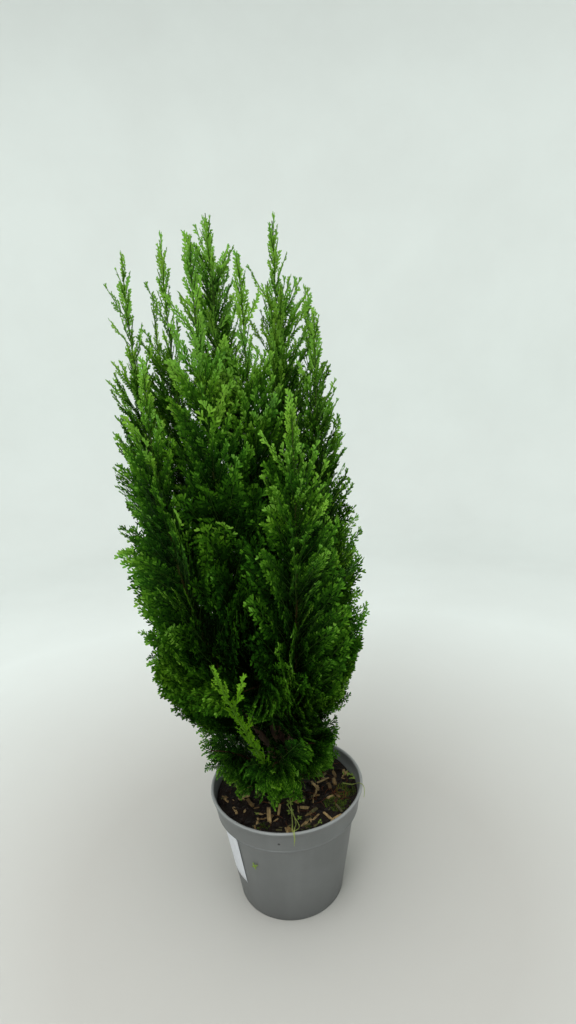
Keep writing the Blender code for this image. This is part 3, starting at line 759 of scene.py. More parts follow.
def backdrop(colour, edge):
    """Pale matt floor that lightens towards the walls round it."""
    paint = Paint("pale_floor", colour)
    squares = paint.axis("X") ** 2.0 + paint.axis("Y") ** 2.0
    away = paint.span(squares ** 0.5, 0.22, 0.75)
    cloud = paint.span(paint.noise(3.0, 4.0), 0.35, 0.70)
    base = paint.mixed(away, colour, edge)
    base = paint.mixed(cloud * 0.10, base, times(colour, 0.90))
    return paint.finish(colour=base, roughness=0.95, specular=0.10)


# Meshes


def hand_over(piece, replaced=()):
    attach(piece, "root")
    if replaced:
        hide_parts(*replaced)


def new_piece(name, mesh, material, smooth):
    mesh.polygons.foreach_set("use_smooth", [smooth] * len(mesh.polygons))
    mesh.materials.append(material)
    piece = bpy.data.objects.new(name, mesh)
    bpy.context.scene.collection.objects.link(piece)
    return piece


def mesh_piece(name, bm, material, smooth=True):
    mesh = bpy.data.meshes.new(name)
    bm.to_mesh(mesh)
    bm.free()
    return new_piece(name, mesh, material, smooth)


def array_piece(name, arrays, material, smooth=False):
    """One mesh from an array of corners and an array of four-sided faces."""
    verts, quads = arrays
    mesh = bpy.data.meshes.new(name)
    mesh.vertices.add(len(verts))
    mesh.vertices.foreach_set("co", verts.astype(np.float32).ravel())
    mesh.loops.add(quads.size)
    mesh.loops.foreach_set("vertex_index", quads.astype(np.int32).ravel())
    mesh.polygons.add(len(quads))
    mesh.polygons.foreach_set("loop_start", np.arange(0, quads.size, 4, dtype=np.int32))
    mesh.update(calc_edges=True)
    return new_piece(name, mesh, material, smooth)


def finish_faces(bm):
    bmesh.ops.remove_doubles(bm, verts=bm.verts, dist=WELD)
    bmesh.ops.recalc_face_normals(bm, faces=bm.faces)


def spun(profile, steps):
    """A closed shell turned from a profile of (radius, height) round the pot's axis."""
    bm = bmesh.new()
    verts = [bm.verts.new((radius, 0.0, height)) for radius, height in profile]
    edges = [bm.edges.new(pair) for pair in zip(verts, verts[1:])]
    bmesh.ops.spin(
        bm,
        geom=verts + edges,
        cent=(0.0, 0.0, 0.0),
        axis=(0.0, 0.0, 1.0),
        angle=math.tau,
        steps=steps,
        use_merge=True,
    )
    finish_faces(bm)
    return bm


def bake(piece):
    """Replace a piece's mesh by what its modifiers make of it."""
    graph = bpy.context.evaluated_depsgraph_get()
    mesh = bpy.data.meshes.new_from_object(piece.evaluated_get(graph), depsgraph=graph)
    piece.modifiers.clear()
    piece.data = mesh


def tube_arrays(points, radii, sides):
    """Corners and faces of a tapering tube along points, open at its ends."""
    points = np.asarray(points, float)
    along = np.gradient(points, axis=0)
    along /= np.linalg.norm(along, axis=1)[:, None]
    side = np.cross(along, np.array(SIDE_FROM))
    side /= np.linalg.norm(side, axis=1)[:, None]
    other = np.cross(along, side)
    turns = np.arange(sides) * math.tau / sides
    ring = side[:, None, :] * np.cos(turns)[None, :, None]
    ring = ring + other[:, None, :] * np.sin(turns)[None, :, None]
    verts = points[:, None, :] + ring * np.asarray(radii)[:, None, None]
    low = np.arange(len(points) - 1)[:, None] * sides + np.arange(sides)
    after = np.arange(len(points) - 1)[:, None] * sides + (np.arange(sides) + 1) % sides
    quads = np.stack([low, after, after + sides, low + sides], axis=2)
    return verts.reshape(-1, 3), quads.reshape(-1, 4)


def joined(parts):
    """Corner and face arrays of many parts as one pair of arrays."""
    verts, quads, count = [], [], 0
    for corners, faces in parts:
        verts.append(corners)
        quads.append(faces + count)
        count += len(corners)
    return np.concatenate(verts), np.concatenate(quads)


# Pot and compost


def inner_wall():
    slope = (BODY_TOP_RADIUS - FOOT_RADIUS) / BODY_TOP
    return [
        (FOOT_RADIUS + slope * FLOOR - WALL - FOOT_ROUND, FLOOR),
        (FOOT_RADIUS + slope * (FLOOR + FOOT_ROUND) - WALL, FLOOR + FOOT_ROUND),
        (BODY_TOP_RADIUS - WALL, BODY_TOP),
        (COLLAR_FOOT_RADIUS - WALL, COLLAR_FOOT + WALL),
        (COLLAR_TOP_RADIUS - WALL, POT_HEIGHT - LIP_HEIGHT),
    ]


def outer_wall():
    """The outside of the pot, from its rolled lip down past its collar to its foot."""
    half = LIP_HEIGHT / 2
    lip = []
    for step in range(LIP_STEPS):
        turn = math.pi * (LIP_TURN[0] + step * LIP_TURN[1])
        across, up = half * math.cos(turn), half * math.sin(turn)
        lip.append((RIM_RADIUS - half + across, POT_HEIGHT - half + up))
    return [
        *lip,
        (COLLAR_TOP_RADIUS, POT_HEIGHT - LIP_HEIGHT - 0.0004),
        (COLLAR_TOP_RADIUS - 0.0008, POT_HEIGHT - 0.0080),
        (COLLAR_FOOT_RADIUS + 0.0002, COLLAR_FOOT + 0.0030),
        (COLLAR_FOOT_RADIUS, COLLAR_FOOT + 0.0008),
        (COLLAR_FOOT_RADIUS - 0.0009, COLLAR_FOOT),
        (BODY_TOP_RADIUS + 0.0010, COLLAR_FOOT - 0.0004),
        (BODY_TOP_RADIUS + 0.0002, BODY_TOP),
        (BODY_TOP_RADIUS - 0.0011, BODY_TOP - 0.0080),
        (FOOT_RADIUS + 0.0006, 0.0060),
        (FOOT_RADIUS, FOOT_ROUND),
        (FOOT_RADIUS - 0.0004, 0.0003),
        (FOOT_RADIUS - FOOT_ROUND, 0.0),
    ]


def build_pot(size):
    profile = [(0.0, FLOOR), *inner_wall(), *outer_wall(), (0.0, 0.0)]
    pot = mesh_piece("pot_shell", spun(profile, POT_STEPS), plastic(tuple(size.colour)))
    cutters = []
    for index in range(HOLES):
        turn = math.tau * index / HOLES
        place = (HOLE_CIRCLE * math.cos(turn), HOLE_CIRCLE * math.sin(turn), 0.0)
        bm = bmesh.new()
        bmesh.ops.create_cone(
            bm,
            cap_ends=True,
            segments=HOLE_SIDES,
            radius1=HOLE_RADIUS,
            radius2=HOLE_RADIUS,
            depth=4 * FLOOR,
            matrix=Matrix.Translation(place),
        )
        cutters.append(mesh_piece(f"drain_cutter_{index}", bm, pot.data.materials[0]))
    for cutter in cutters:
        cut = pot.modifiers.new("drain_hole", "BOOLEAN")
        cut.object = cutter
        cut.operation = "DIFFERENCE"
        cut.solver = "EXACT"
    bake(pot)
    for cutter in cutters:
        bpy.data.objects.remove(cutter, do_unlink=True)
    pot.data.shade_smooth()
    edge = pot.modifiers.new("soft_edges", "BEVEL")
    edge.width = size.edge
    edge.segments = 2
    edge.limit_method = "ANGLE"
    edge.angle_limit = ROUNDED_FROM
    hand_over(pot, ["pot"])


def radius_at(height, wall):
    """How far a wall of (radius, height) rows, from low to high, lies from the pot's axis."""
    return float(np.interp(height, [row[1] for row in wall], [row[0] for row in wall]))


def build_label(size):
    """A blank sticker wrapped round the left of the pot's body."""
    bm = bmesh.new()
    across, up = LABEL_GRID
    bmesh.ops.create_grid(bm, x_segments=across, y_segments=up, size=0.5)
    wall = outer_wall()[::-1]
    for vert in bm.verts:
        turn = math.radians(size.bearing + vert.co.x * size.turn)
        height = size.middle + vert.co.y * size.height
        share = max(0.0, abs(vert.co.x) - LABEL_CURL_FROM) / (0.5 - LABEL_CURL_FROM)
        radius = radius_at(height, wall) + LABEL_LIFT + LABEL_CURL * share
        vert.co = (radius * math.cos(turn), radius * math.sin(turn), height)
    bmesh.ops.recalc_face_normals(bm, faces=bm.faces)
    label = mesh_piece("blank_label", bm, paper(tuple(size.colour)))
    thick = label.modifiers.new("thickness", "SOLIDIFY")
    thick.thickness = LABEL_THICK
    thick.offset = 1.0
    hand_over(label)


def soil_height(x, y):
    """Clods and hollows over the compost, level where the trunk stands."""
    rise = min(max((math.hypot(x, y) - SOIL_LEVEL_RADIUS) / SOIL_RISE_OVER, 0.0), 1.0)
    coarse = noise.fractal(Vector((x, y, 0.3)) * 42.0, 1.0, 2.0, 4)
    fine = noise.fractal(Vector((x, y, 1.7)) * 190.0, 1.0, 2.0, 3)
    return SOIL_TOP + rise * SOIL_HUMP * 0.8 * coarse + (0.3 + 0.7 * rise) * 0.0008 * fine


def build_compost(size):
    wall = inner_wall()
    top = radius_at(SOIL_TOP, wall) - 3 * GAP
    rings = [(top * step / SOIL_RINGS, SOIL_TOP) for step in range(SOIL_RINGS + 1)]
    side = [(radius - GAP * 1.5, height) for radius, height in wall[1:4]][::-1]
    side[-1] = (side[-1][0], FLOOR + 2 * FOOT_ROUND)
    profile = [*rings, *side, (side[-1][0] - FOOT_ROUND, FLOOR + GAP), (0.0, FLOOR + GAP)]
    bm = spun(profile, SOIL_STEPS)
    for vert in bm.verts:
        if vert.co.z > SOIL_TOP - GAP / 3:
            height = soil_height(vert.co.x, vert.co.y)
            edge = math.hypot(vert.co.x, vert.co.y) > top * SOIL_EDGE
            vert.co.z = min(height, SOIL_TOP) if edge else height
    bmesh.ops.recalc_face_normals(bm, faces=bm.faces)
    material = peat("dark_compost", tuple(size.colour), PALE_FIBRE)
    hand_over(mesh_piece("peat_surface", bm, material), ["compost"])


def lump(bm, place, size, rng):
    """One uneven crumb of compost."""
    made = bmesh.ops.create_icosphere(bm, subdivisions=1, radius=size)
    turn = Matrix.Rotation(rng.uniform(0.0, math.tau), 3, "Z")
    for vert in made["verts"]:
        push = 1.0 + rng.uniform(-0.28, 0.28)
        co = turn @ Vector((vert.co.x * 1.25, vert.co.y, vert.co.z * 0.7)) * push
        vert.co = co + Vector(place)


def scattered(rng, count, reach=SCATTER_REACH, hole=SCATTER_HOLE):
    """Places on the compost, spread evenly between the trunk's foot and the wall."""
    places = []
    for index in range(count):
        radius = math.sqrt(rng.uniform(hole**2, reach**2))
        turn = rng.uniform(0.0, math.tau)
        places.append((radius * math.cos(turn), radius * math.sin(turn)))
    return places


def build_crumbs(size):
    rng = random.Random(CRUMB_SEED)
    bm = bmesh.new()
    least, more = CRUMB_RADII
    for x, y in scattered(rng, size.crumbs):
        radius = least + more * rng.random() ** 2.2
        lump(bm, (x, y, soil_height(x, y) + radius * 0.25), radius, rng)
    material = peat("peat_crumbs", times(tuple(size.colour), 1.35), CRUMB_FIBRE)
    hand_over(mesh_piece("peat_crumbs", bm, material))


def chip(bm, place, length, width, bearing, tilt, rng):
    """A splinter of wood: a thin tapering board with uneven corners."""
    before = len(bm.verts)
    made = bmesh.ops.create_cube(bm, size=1.0)
    edges = {edge for vert in made["verts"] for edge in vert.link_edges}
    long_edges = [edge for edge in edges if abs(edge.verts[0].co.x - edge.verts[1].co.x) > 0.5]
    bmesh.ops.subdivide_edges(bm, edges=long_edges, cuts=2)
    bm.verts.ensure_lookup_table()
    bow = rng.uniform(-0.15, 0.15)
    turn = Matrix.Rotation(math.radians(bearing), 3, "Z")
    turn = turn @ Matrix.Rotation(-math.radians(tilt), 3, "Y")
    turn = turn @ Matrix.Rotation(rng.uniform(-0.3, 0.3), 3, "X")
    for vert in bm.verts[before:]:
        taper = 1.0 - 0.45 * abs(vert.co.x) * 2 * rng.uniform(0.3, 1.0)
        x = vert.co.x * length * rng.uniform(0.92, 1.08)
        y = vert.co.y * width * taper + bow * width * (1.0 - 4 * vert.co.x**2)
        z = vert.co.z * width * 0.38 * rng.uniform(0.7, 1.2)
        vert.co = turn @ Vector((x, y, z)) + place


def build_chips(size):
    rng = random.Random(CHIP_SEED)
    heaps = {name: bmesh.new() for name in CHIP_COLOURS}
    names = list(heaps)
    rows = list(KEY_CHIPS)
    for x, y in scattered(rng, size.chips, CHIP_REACH):
        long = rng.uniform(*CHIP_LENGTHS)
        kind = names[min(int(rng.random() ** 1.3 * 3), 2)]
        width = long * rng.uniform(0.14, 0.40)
        rows.append((x, y, long, width, rng.uniform(0.0, 360.0), rng.uniform(0.0, 18.0), kind))
    for x, y, long, width, bearing, tilt, kind in rows:
        rise = width * 0.12 + abs(math.sin(math.radians(tilt))) * long * 0.36
        place = Vector((x, y, soil_height(x, y) + rise + 0.0002))
        chip(heaps[kind], place, long, width, bearing, tilt, rng)
    for name, bm in heaps.items():
        bmesh.ops.recalc_face_normals(bm, faces=bm.faces)
        piece = mesh_piece(name, bm, chip_wood(name, CHIP_COLOURS[name]), False)
        hand_over(piece)


def wavy_line(start, end, rng, wander, sag):
    """Points from start to end that wander a little and rise in the middle."""
    start, end = np.array(start), np.array(end)
    shares = np.linspace(0.0, 1.0, ROOTLET_ROWS)
    phases = [rng.uniform(0.0, math.tau) for count in range(4)]
    points = start + np.outer(shares, end - start)
    swell = np.sin(math.pi * shares)
    points[:, 0] += swell * wander * np.sin(shares * 7.0 + phases[0])
    points[:, 1] += swell * wander * np.sin(shares * 6.0 + phases[1])
    points[:, 2] += swell * (sag + 0.4 * wander * np.sin(shares * 9.0 + phases[2]))
    return points


def build_rootlets(size):
    """Red-brown fibres and small dead twigs lying on the compost, thickest at the right."""
    rng = random.Random(ROOTLET_SEED)
    parts = []
    for index in range(size.rootlets):
        right = index % 3 > 0
        bearing = math.radians(rng.uniform(-30.0, 75.0) if right else rng.uniform(0.0, 360.0))
        radius = rng.uniform(*ROOTLET_RING)
        x, y = radius * math.cos(bearing), radius * math.sin(bearing)
        turn = rng.uniform(0.0, math.tau)
        long = rng.uniform(*ROOTLET_LENGTHS)
        far = (x + long * math.cos(turn), y + long * math.sin(turn))
        if math.hypot(*far) > ROOTLET_REACH:
            far = (x - long * math.cos(turn), y - long * math.sin(turn))
        rise = rng.uniform(0.0, 0.0045) if right else 0.0008
        start = (x, y, soil_height(x, y) + 0.0003)
        end = (*far, soil_height(*far) + rise)
        sag = rng.uniform(0.0, 0.002)
        points = wavy_line(start, end, rng, 0.0012, sag)
        radii = np.linspace(1.0, 0.4, ROOTLET_ROWS) * rng.uniform(*ROOTLET_RADII)
        parts.append(tube_arrays(points, radii, 5))
    material = plain_plant("rootlets", ROOTLET, 0.5, 0.85)
    hand_over(array_piece("rootlets", joined(parts), material, True))


def blade(places, side, foot, belly, end):
    """Six corners of a blade: two at its foot, two at its middle and two at its tip."""
    first, middle, last = places
    return [
        first - side * foot,
        first + side * foot,
        middle + side * belly,
        middle - side * belly,
        last + side * end,
        last - side * end,
    ]


def blade_arrays(blades):
    """Corners and faces of an array of blades."""
    quads = BLADE[None, :, :] + 6 * np.arange(len(blades))[:, None, None]
    return blades.reshape(-1, 3), quads.reshape(-1, 4)


def build_moss():
    """Cushions of short moss blades on the damp side of the pot."""
    rng = random.Random(MOSS_SEED)
    blades = []
    for x, y, reach, count in MOSS_PATCHES:
        for index in range(count):
            away = reach * math.sqrt(rng.random())
            turn = rng.uniform(0.0, math.tau)
            px, py = x + away * math.cos(turn), y + away * math.sin(turn)
            if math.hypot(px, py) > MOSS_REACH:
                continue
            root = np.array([px, py, soil_height(px, py) - 0.0002])
            lean = rng.uniform(0.0, math.tau)
            tall = rng.uniform(0.0010, 0.0030) * (1.0 - 0.5 * away / reach)
            tip = root + np.array([math.cos(lean) * tall * 0.5, math.sin(lean) * tall * 0.5, tall])
            side = np.array([-math.sin(lean), math.cos(lean), 0.0]) * MOSS_WIDE
            middle = (root + tip) / 2 + np.array([0.0, 0.0, tall * 0.12])
            blades.append(blade((root, middle, tip), side, 1.0, 1.2, 0.3))
    material = plain_plant("moss", MOSS, 0.45, 0.8)
    hand_over(array_piece("moss", blade_arrays(np.array(blades)), material))


def smoothed(points, rows):
    """A smooth line through points, as an array of evenly numbered rows."""
    points = np.array([tuple(point) for point in points])
    shares = np.linspace(0.0, len(points) - 1.0, rows)
    index = np.minimum(shares.astype(int), len(points) - 2)
    part = (shares - index)[:, None]
    before = points[np.maximum(index - 1, 0)]
    first, second = points[index], points[index + 1]
    after = points[np.minimum(index + 2, len(points) - 1)]
    return 0.5 * (
        2 * first
        + (second - before) * part
        + (2 * before - 5 * first + 4 * second - after) * part**2
        + (3 * first - before - 3 * second + after) * part**3
    )


def build_runners():
    radii = np.linspace(*RUNNER_RADII, RUNNER_ROWS)
    parts = [tube_arrays(smoothed(row, RUNNER_ROWS), radii, 6) for row in RUNNERS]
    material = plain_plant("pale_runners", RUNNER, 0.3, 0.6)
    hand_over(array_piece("pale_runners", joined(parts), material, True))


def build_seedlings():
    """Tiny weeds with pairs of round leaves, one of them stuck to the pot's side."""
    rng = random.Random(SEEDLING_SEED)
    blades = []
    spots = [((x, y, soil_height(x, y)), leaf, (0.0, 0.0, 1.0)) for x, y, leaf in SEEDLINGS]
    radius = radius_at(STUCK_HEIGHT, outer_wall()[::-1]) + 0.0004
    x, y = math.cos(STUCK_BEARING), math.sin(STUCK_BEARING)
    spots.append(((radius * x, radius * y, STUCK_HEIGHT), STUCK_LEAF, (x, y, 0.0)))
    for root, leaf, up in spots:
        up = Vector(up)
        level = up.orthogonal().normalized()
        for pair in range(4):
            out = Matrix.Rotation(pair * math.pi / 2 + rng.uniform(-0.5, 0.5), 3, up) @ level
            side = up.cross(out) * leaf * 0.28
            start = Vector(root) + up * (leaf * 0.12)
            middle = start + out * leaf * 0.55 + up * leaf * 0.25
            tip = start + out * leaf + up * leaf * 0.18
            corners = blade((start, middle, tip), side, 0.3, 1.0, 0.5)
            blades.append([tuple(corner) for corner in corners])
    material = plain_plant("seedlings", SEEDLING, 0.3, 0.55)
    hand_over(array_piece("seedlings", blade_arrays(np.array(blades)), material))


# Trunk and boughs


def trunk_axis(height):
    share = (height - SOIL_TOP) / (TRUNK_TOP - SOIL_TOP)
    sway = TRUNK_SWAY * math.sin(math.pi * TRUNK_BENDS * share)
    across = TRUNK_FOOT[0] + (TRUNK_TIP[0] - TRUNK_FOOT[0]) * share
    along = TRUNK_FOOT[1] + (TRUNK_TIP[1] - TRUNK_FOOT[1]) * share
    return Vector((across + sway, along - sway, height))


def trunk_radius(height):
    share = (height - SOIL_TOP) / (TRUNK_TOP - SOIL_TOP)
    flare = FLARE * math.exp(-(height - SOIL_TOP) / FLARE_HEIGHT)
    return TRUNK_RADIUS + (TRUNK_TIP_RADIUS - TRUNK_RADIUS) * share**TRUNK_TAPER + flare


def frame_of(path, index):
    before = path[max(index - 1, 0)]
    after = path[min(index + 1, len(path) - 1)]
    along = (after - before).normalized()
    side = along.cross(Vector(SIDE_FROM)).normalized()
    return along, side, along.cross(side)


def ring_points(middle, side, other, radius, sides):
    turns = [math.tau * step / sides for step in range(sides)]
    return [middle + (side * math.cos(turn) + other * math.sin(turn)) * radius for turn in turns]


def spread_of(tip):
    axis = trunk_axis(LEADER_FOOT)
    return math.hypot(tip[0] - axis.x, tip[1] - axis.y)


def surface_of(node):
    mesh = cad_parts[node].data
    corners = [vert.co for vert in mesh.vertices]
    return BVHTree.FromPolygons(corners, [tuple(face.vertices) for face in mesh.polygons])


def foot_room(path, radius, sides, bark):
    along, side, other = frame_of(path, 0)
    ring = ring_points(path[0], side, other, radius, sides)
    rooms = []
    for point in [path[0], *ring, *[one.lerp(two, 0.5) for one, two in zip(ring, ring[1:])]]:
        place, normal, face, distance = bark.find_nearest(point)
        rooms.append(math.copysign(distance, (point - place).dot(normal)))
    return min(rooms)


def seated(path, radius, sides, bark):
    """Draw a limb's foot back until it almost touches the trunk's bark."""
    back = (path[0] - path[1]).normalized() * SEAT_STEP
    foot = path[0]
    while foot_room([foot + back, *path[1:]], radius, sides, bark) > GAP:
        foot = foot + back
    return [foot, *path[1:]]


def fork_height(tip):
    share = min(spread_of(tip) / WIDE_SPREAD, 1.0)
    return FORK_HIGH + (FORK_LOW - FORK_HIGH) * share


def shoot_point(fork, tip, share):
    turn = 1.0 - (1.0 - share) ** TURN_UP
    return Vector((
        fork.x + (tip[0] - fork.x) * turn,
        fork.y + (tip[1] - fork.y) * turn,
        fork.z + (tip[2] - fork.z) * share,
    ))


def shares_between(first, last, count):
    return [first + (last - first) * index / (count - 1) for index in range(count)]


def leaving_share(fork, tip, radius):
    share = 0.0
    while True:
        share += 0.001
        point = shoot_point(fork, tip, share)
        along = (shoot_point(fork, tip, share + 0.01) - point).normalized()
        lean = math.hypot(along.x, along.y)
        reach = math.hypot(point.x - trunk_axis(point.z).x, point.y - trunk_axis(point.z).y)
        low = point.z - radius * lean
        if reach - radius * along.z > trunk_radius(low) + 2 * GAP:
            return share


def samples_of(path, step=COARSE_STEP):
    points = []
    for first, second in zip(path, path[1:]):
        count = max(int((second - first).length / step), 1)
        points += [first.lerp(second, index / count) for index in range(count)]
    points.append(path[-1])
    return np.array([tuple(point) for point in points])


def distances(points, others):
    return np.sqrt(((points[:, None, :] - others[None, :, :]) ** 2).sum(axis=2))


def nearest(points, others):
    return distances(points, others).min(axis=1)


def room_beside(points, limbs):
    return min(((distances(points, axis) - radii).min() for axis, radii in limbs), default=1.0)


def out_and_back(count):
    return [(index + 1) // 2 * (1 if index % 2 else -1) for index in range(count)]


def bough_path(fork, tip):
    first = leaving_share(fork, tip, BOUGH_RADIUS)
    last = (LEADER_FOOT - fork.z) / (tip[2] - fork.z)
    return [shoot_point(fork, tip, share) for share in shares_between(first, last, BOUGH_ROWS)]


def limb_shape(path, foot_radius, tip_radius):
    axis = samples_of(path, FINE_STEP)
    return axis, np.linspace(foot_radius, tip_radius, len(axis))


def bough_shape(path):
    return limb_shape(path, BOUGH_RADIUS, BOUGH_TIP_RADIUS)


def stem_shape(path):
    return limb_shape(path, STEM_RADIUS, STEM_TIP_RADIUS)


def grow_boughs(bark):
    boughs = {}
    shapes = []
    for name, tip in LEADER_TIPS.items():
        if spread_of(tip) < INNER_SPREAD:
            continue
        for step in out_and_back(FORK_TRIES):
            height = max(fork_height(tip) + step * FORK_STEP, FORK_LOW)
            fork = trunk_axis(height)
            path = seated(bough_path(fork, tip), BOUGH_RADIUS, BOUGH_SIDES, bark)
            shape = bough_shape(path)
            if room_beside(shape[0], shapes) > BOUGH_RADIUS + 2 * GAP:
                break
        boughs[name] = (fork, path)
        shapes.append(shape)
    return boughs


def leader_path(tip, boughs, name):
    if name in boughs:
        fork = boughs[name][0]
        first = (LEADER_FOOT - fork.z) / (tip[2] - fork.z)
    else:
        fork = trunk_axis(INNER_FOOT)
        first = leaving_share(fork, tip, STEM_RADIUS)
    path = [shoot_point(fork, tip, share) for share in shares_between(first, 1.0, 10)]
    if name in boughs:
        path[0] = path[0] + (path[1] - path[0]).normalized() * GAP
    return path


def ridged_limb(path, radii, sides, rows, seed, depth):
    """A limb whose bark stands up in lengthwise ridges, closed at both ends."""
    points = smoothed(path, rows)
    radius = np.interp(np.linspace(0.0, 1.0, rows), np.linspace(0.0, 1.0, len(radii)), radii)
    verts, quads = tube_arrays(points, radius, sides)
    bm = bmesh.new()
    made = []
    for index, corner in enumerate(verts):
        turn = math.tau * (index % sides) / sides
        length = (index // sides) / rows * RIDGES_ALONG + seed
        place = (math.cos(turn) * RIDGES_ROUND, math.sin(turn) * RIDGES_ROUND, length)
        ridge = noise.fractal(place, 0.9, 2.1, 4)
        middle = points[index // sides]
        made.append(bm.verts.new(middle + (corner - middle) * (1.0 + depth * ridge)))
    for quad in quads:
        bm.faces.new([made[index] for index in quad])
    bm.faces.new(made[:sides][::-1])
    bm.faces.new(made[-sides:])
    return bm


def merged(meshes):
    """Several bmeshes as one."""
    whole = bmesh.new()
    for bm in meshes:
        mesh = bpy.data.meshes.new("limb")
        bm.to_mesh(mesh)
        bm.free()
        whole.from_mesh(mesh)
        bpy.data.meshes.remove(mesh)
    bmesh.ops.recalc_face_normals(whole, faces=whole.faces)
    return whole


def build_bark(size):
    boughs = grow_boughs(surface_of("trunk"))
    material = fibrous_bark(tuple(size.bark))
    heights = [float(value) for value in np.linspace(SOIL_TOP - 5 * GAP, TRUNK_TOP, 60)]
    path = [trunk_axis(height) for height in heights]
    radii = [trunk_radius(height) for height in heights]
    trunk = merged([ridged_limb(path, radii, TRUNK_SIDES, TRUNK_ROWS, 0.0, TRUNK_RIDGES)])
    hand_over(mesh_piece("trunk_bark", trunk, material), ["trunk"])
    limbs = []
    for index, (fork, path) in enumerate(boughs.values()):
        start = path[0] + (path[0] - path[1]).normalized() * (2 * GAP)
        radii = np.linspace(BOUGH_RADIUS, BOUGH_TIP_RADIUS, len(path))
        path = [start, *path[1:]]
        limbs.append(ridged_limb(path, radii, LIMB_SIDES, LIMB_ROWS, 3.0 + index, LIMB_RIDGES))
    nodes = ["bough_" + name for name in boughs]
    hand_over(mesh_piece("bough_bark", merged(limbs), material), nodes)


# Masses of foliage: the source's rule


def bowed_path(start, middle, end, count):
    path = []
    for share in shares_between(0.0, 1.0, count):
        near = start.lerp(middle, share)
        far = middle.lerp(end, share)
        path.append(near.lerp(far, share))
    return path


def crown_edge(ring, axis, bearing):
    away = [(axis[side] - ring["middle"][side]) / ring["reach"][side] for side in (0, 1)]
    out = [math.cos(bearing) / ring["reach"][0], math.sin(bearing) / ring["reach"][1]]
    square = out[0] ** 2 + out[1] ** 2
    half = away[0] * out[0] + away[1] * out[1]
    rest = away[0] ** 2 + away[1] ** 2 - 1.0
    return (math.sqrt(half**2 - square * rest) - half) / square


def ring_path(bearing, foot, ring):
    axis = trunk_axis(foot)
    out = Vector((math.cos(bearing), math.sin(bearing), 0.0))
    height, left, front = ring["tip"]
    end = axis + out * crown_edge(ring, axis, bearing)
    end.z = height - left * out.x + front * out.y
    start = axis + out * (trunk_radius(foot) + STEM_RADIUS + 2 * GAP)
    middle = start.lerp(end, 0.5) + Vector((0.0, 0.0, ring["bow"]))
    return bowed_path(start, middle, end, 6)


def widest_gaps(count):
    axis = trunk_axis(LEADER_FOOT)
    tips = LEADER_TIPS.values()
    sides = sorted(math.atan2(tip[1] - axis.y, tip[0] - axis.x) for tip in tips)
    after = [*sides[1:], sides[0] + math.tau]
    gaps = sorted(zip(sides, after), key=lambda gap: gap[0] - gap[1])
    return [(first + second) / 2 for first, second in gaps[:count]]


def ring_bearings(ring):
    if "gaps" in ring:
        return widest_gaps(ring["gaps"])
    return [math.radians(bearing) for bearing in ring["bearings"]]


def clear_ring_path(bearing, foot, ring, taken):
    for step in out_and_back(TURN_TRIES):
        path = ring_path(bearing + step * TURN_STEP, foot, ring)
        if room_beside(samples_of(path, FINE_STEP), taken) > STEM_CLEAR:
            return path
    return ring_path(bearing, foot, ring)


def leader_masses(boughs):
    masses = []
    for index, (name, tip) in enumerate(LEADER_TIPS.items()):
        masses.append({
            "name": "leader_" + name,
            "path": leader_path(tip, boughs, name),
            "from_trunk": name not in boughs,
            "from": 0.03,
            "sprays": 18,
            "apart": 0.0105,
            "length": (0.086, 0.026),
            "open": (46.0, 30.0),
            "lift": 0.10,
            "tip": 0.062,
            "slender": SLENDER_FROM,
            "seed": 100 + index,
        })
    start = trunk_axis(TRUNK_TOP) + Vector((0.0, 0.0, GAP + STEM_RADIUS / 10))
    rise = Vector(TOP_TIP) - start
    masses.append({
        "name": "leader_top",
        "path": [start + rise * share for share in shares_between(0.0, 1.0, 7)],
        "from_trunk": False,
        "from": 0.03,
        "sprays": 11,
        "apart": 0.0105,
        "length": (0.055, 0.026),
        "open": (38.0, 30.0),
        "lift": 0.10,
        "tip": 0.060,
        "slender": SLENDER_FROM / 2,
        "seed": 90,
    })
    return masses


def ring_masses(taken, bark):
    masses = []
    taken = list(taken)
    for name, ring in RINGS.items():
        bearings = ring_bearings(ring)
        for index, bearing in enumerate(bearings):
            foot = ring["foot"][0] + ring["foot"][1] * (index * 2 % len(bearings))
            path = clear_ring_path(bearing, foot, ring, taken)
            path = seated(path, STEM_RADIUS, STEM_SIDES, bark)
            taken.append(stem_shape(path))
            masses.append({
                **ring,
                "name": f"{name}_{index + 1}",
                "path": path,
                "tip": ring["length"][1],
                "slender": 1.0,
                "seed": ring["seed"] + index,
            })
    return masses


def front_shoot():
    axis = trunk_axis(SHOOT_FOOT)
    out = Vector(SHOOT_SIDE).normalized()
    start = axis + out * (trunk_radius(SHOOT_FOOT) + STEM_RADIUS * 0.9 + GAP)
    return {
        "name": "front_shoot",
        "path": bowed_path(start, Vector(SHOOT_MIDDLE), Vector(SHOOT_TIP), 9),
        "from": 0.30,
        "sprays": 11,
        "apart": 0.0090,
        "length": (0.036, 0.024),
        "open": (38.0, 30.0),
        "lift": 0.10,
        "tip": 0.032,
        "slender": 0.0,
        "seed": 70,
    }


def all_masses(boughs, bark):
    leaders = leader_masses(boughs)
    inner = [mass for mass in leaders if mass["from_trunk"]]
    shoot = front_shoot()
    for mass in [*inner, shoot]:
        mass["path"] = seated(mass["path"], STEM_RADIUS, STEM_SIDES, bark)
    taken = [bough_shape(path) for fork, path in boughs.values()]
    taken += [stem_shape(mass["path"]) for mass in [*leaders, shoot]]
    return [*leaders, *ring_masses(taken, bark), shoot]


def point_at(path, share):
    place = share * (len(path) - 1)
    index = min(int(place), len(path) - 2)
    return path[index].lerp(path[index + 1], place - index), frame_of(path, index)


def turned(vector, axis, angle):
    return Matrix.Rotation(angle, 3, axis) @ vector


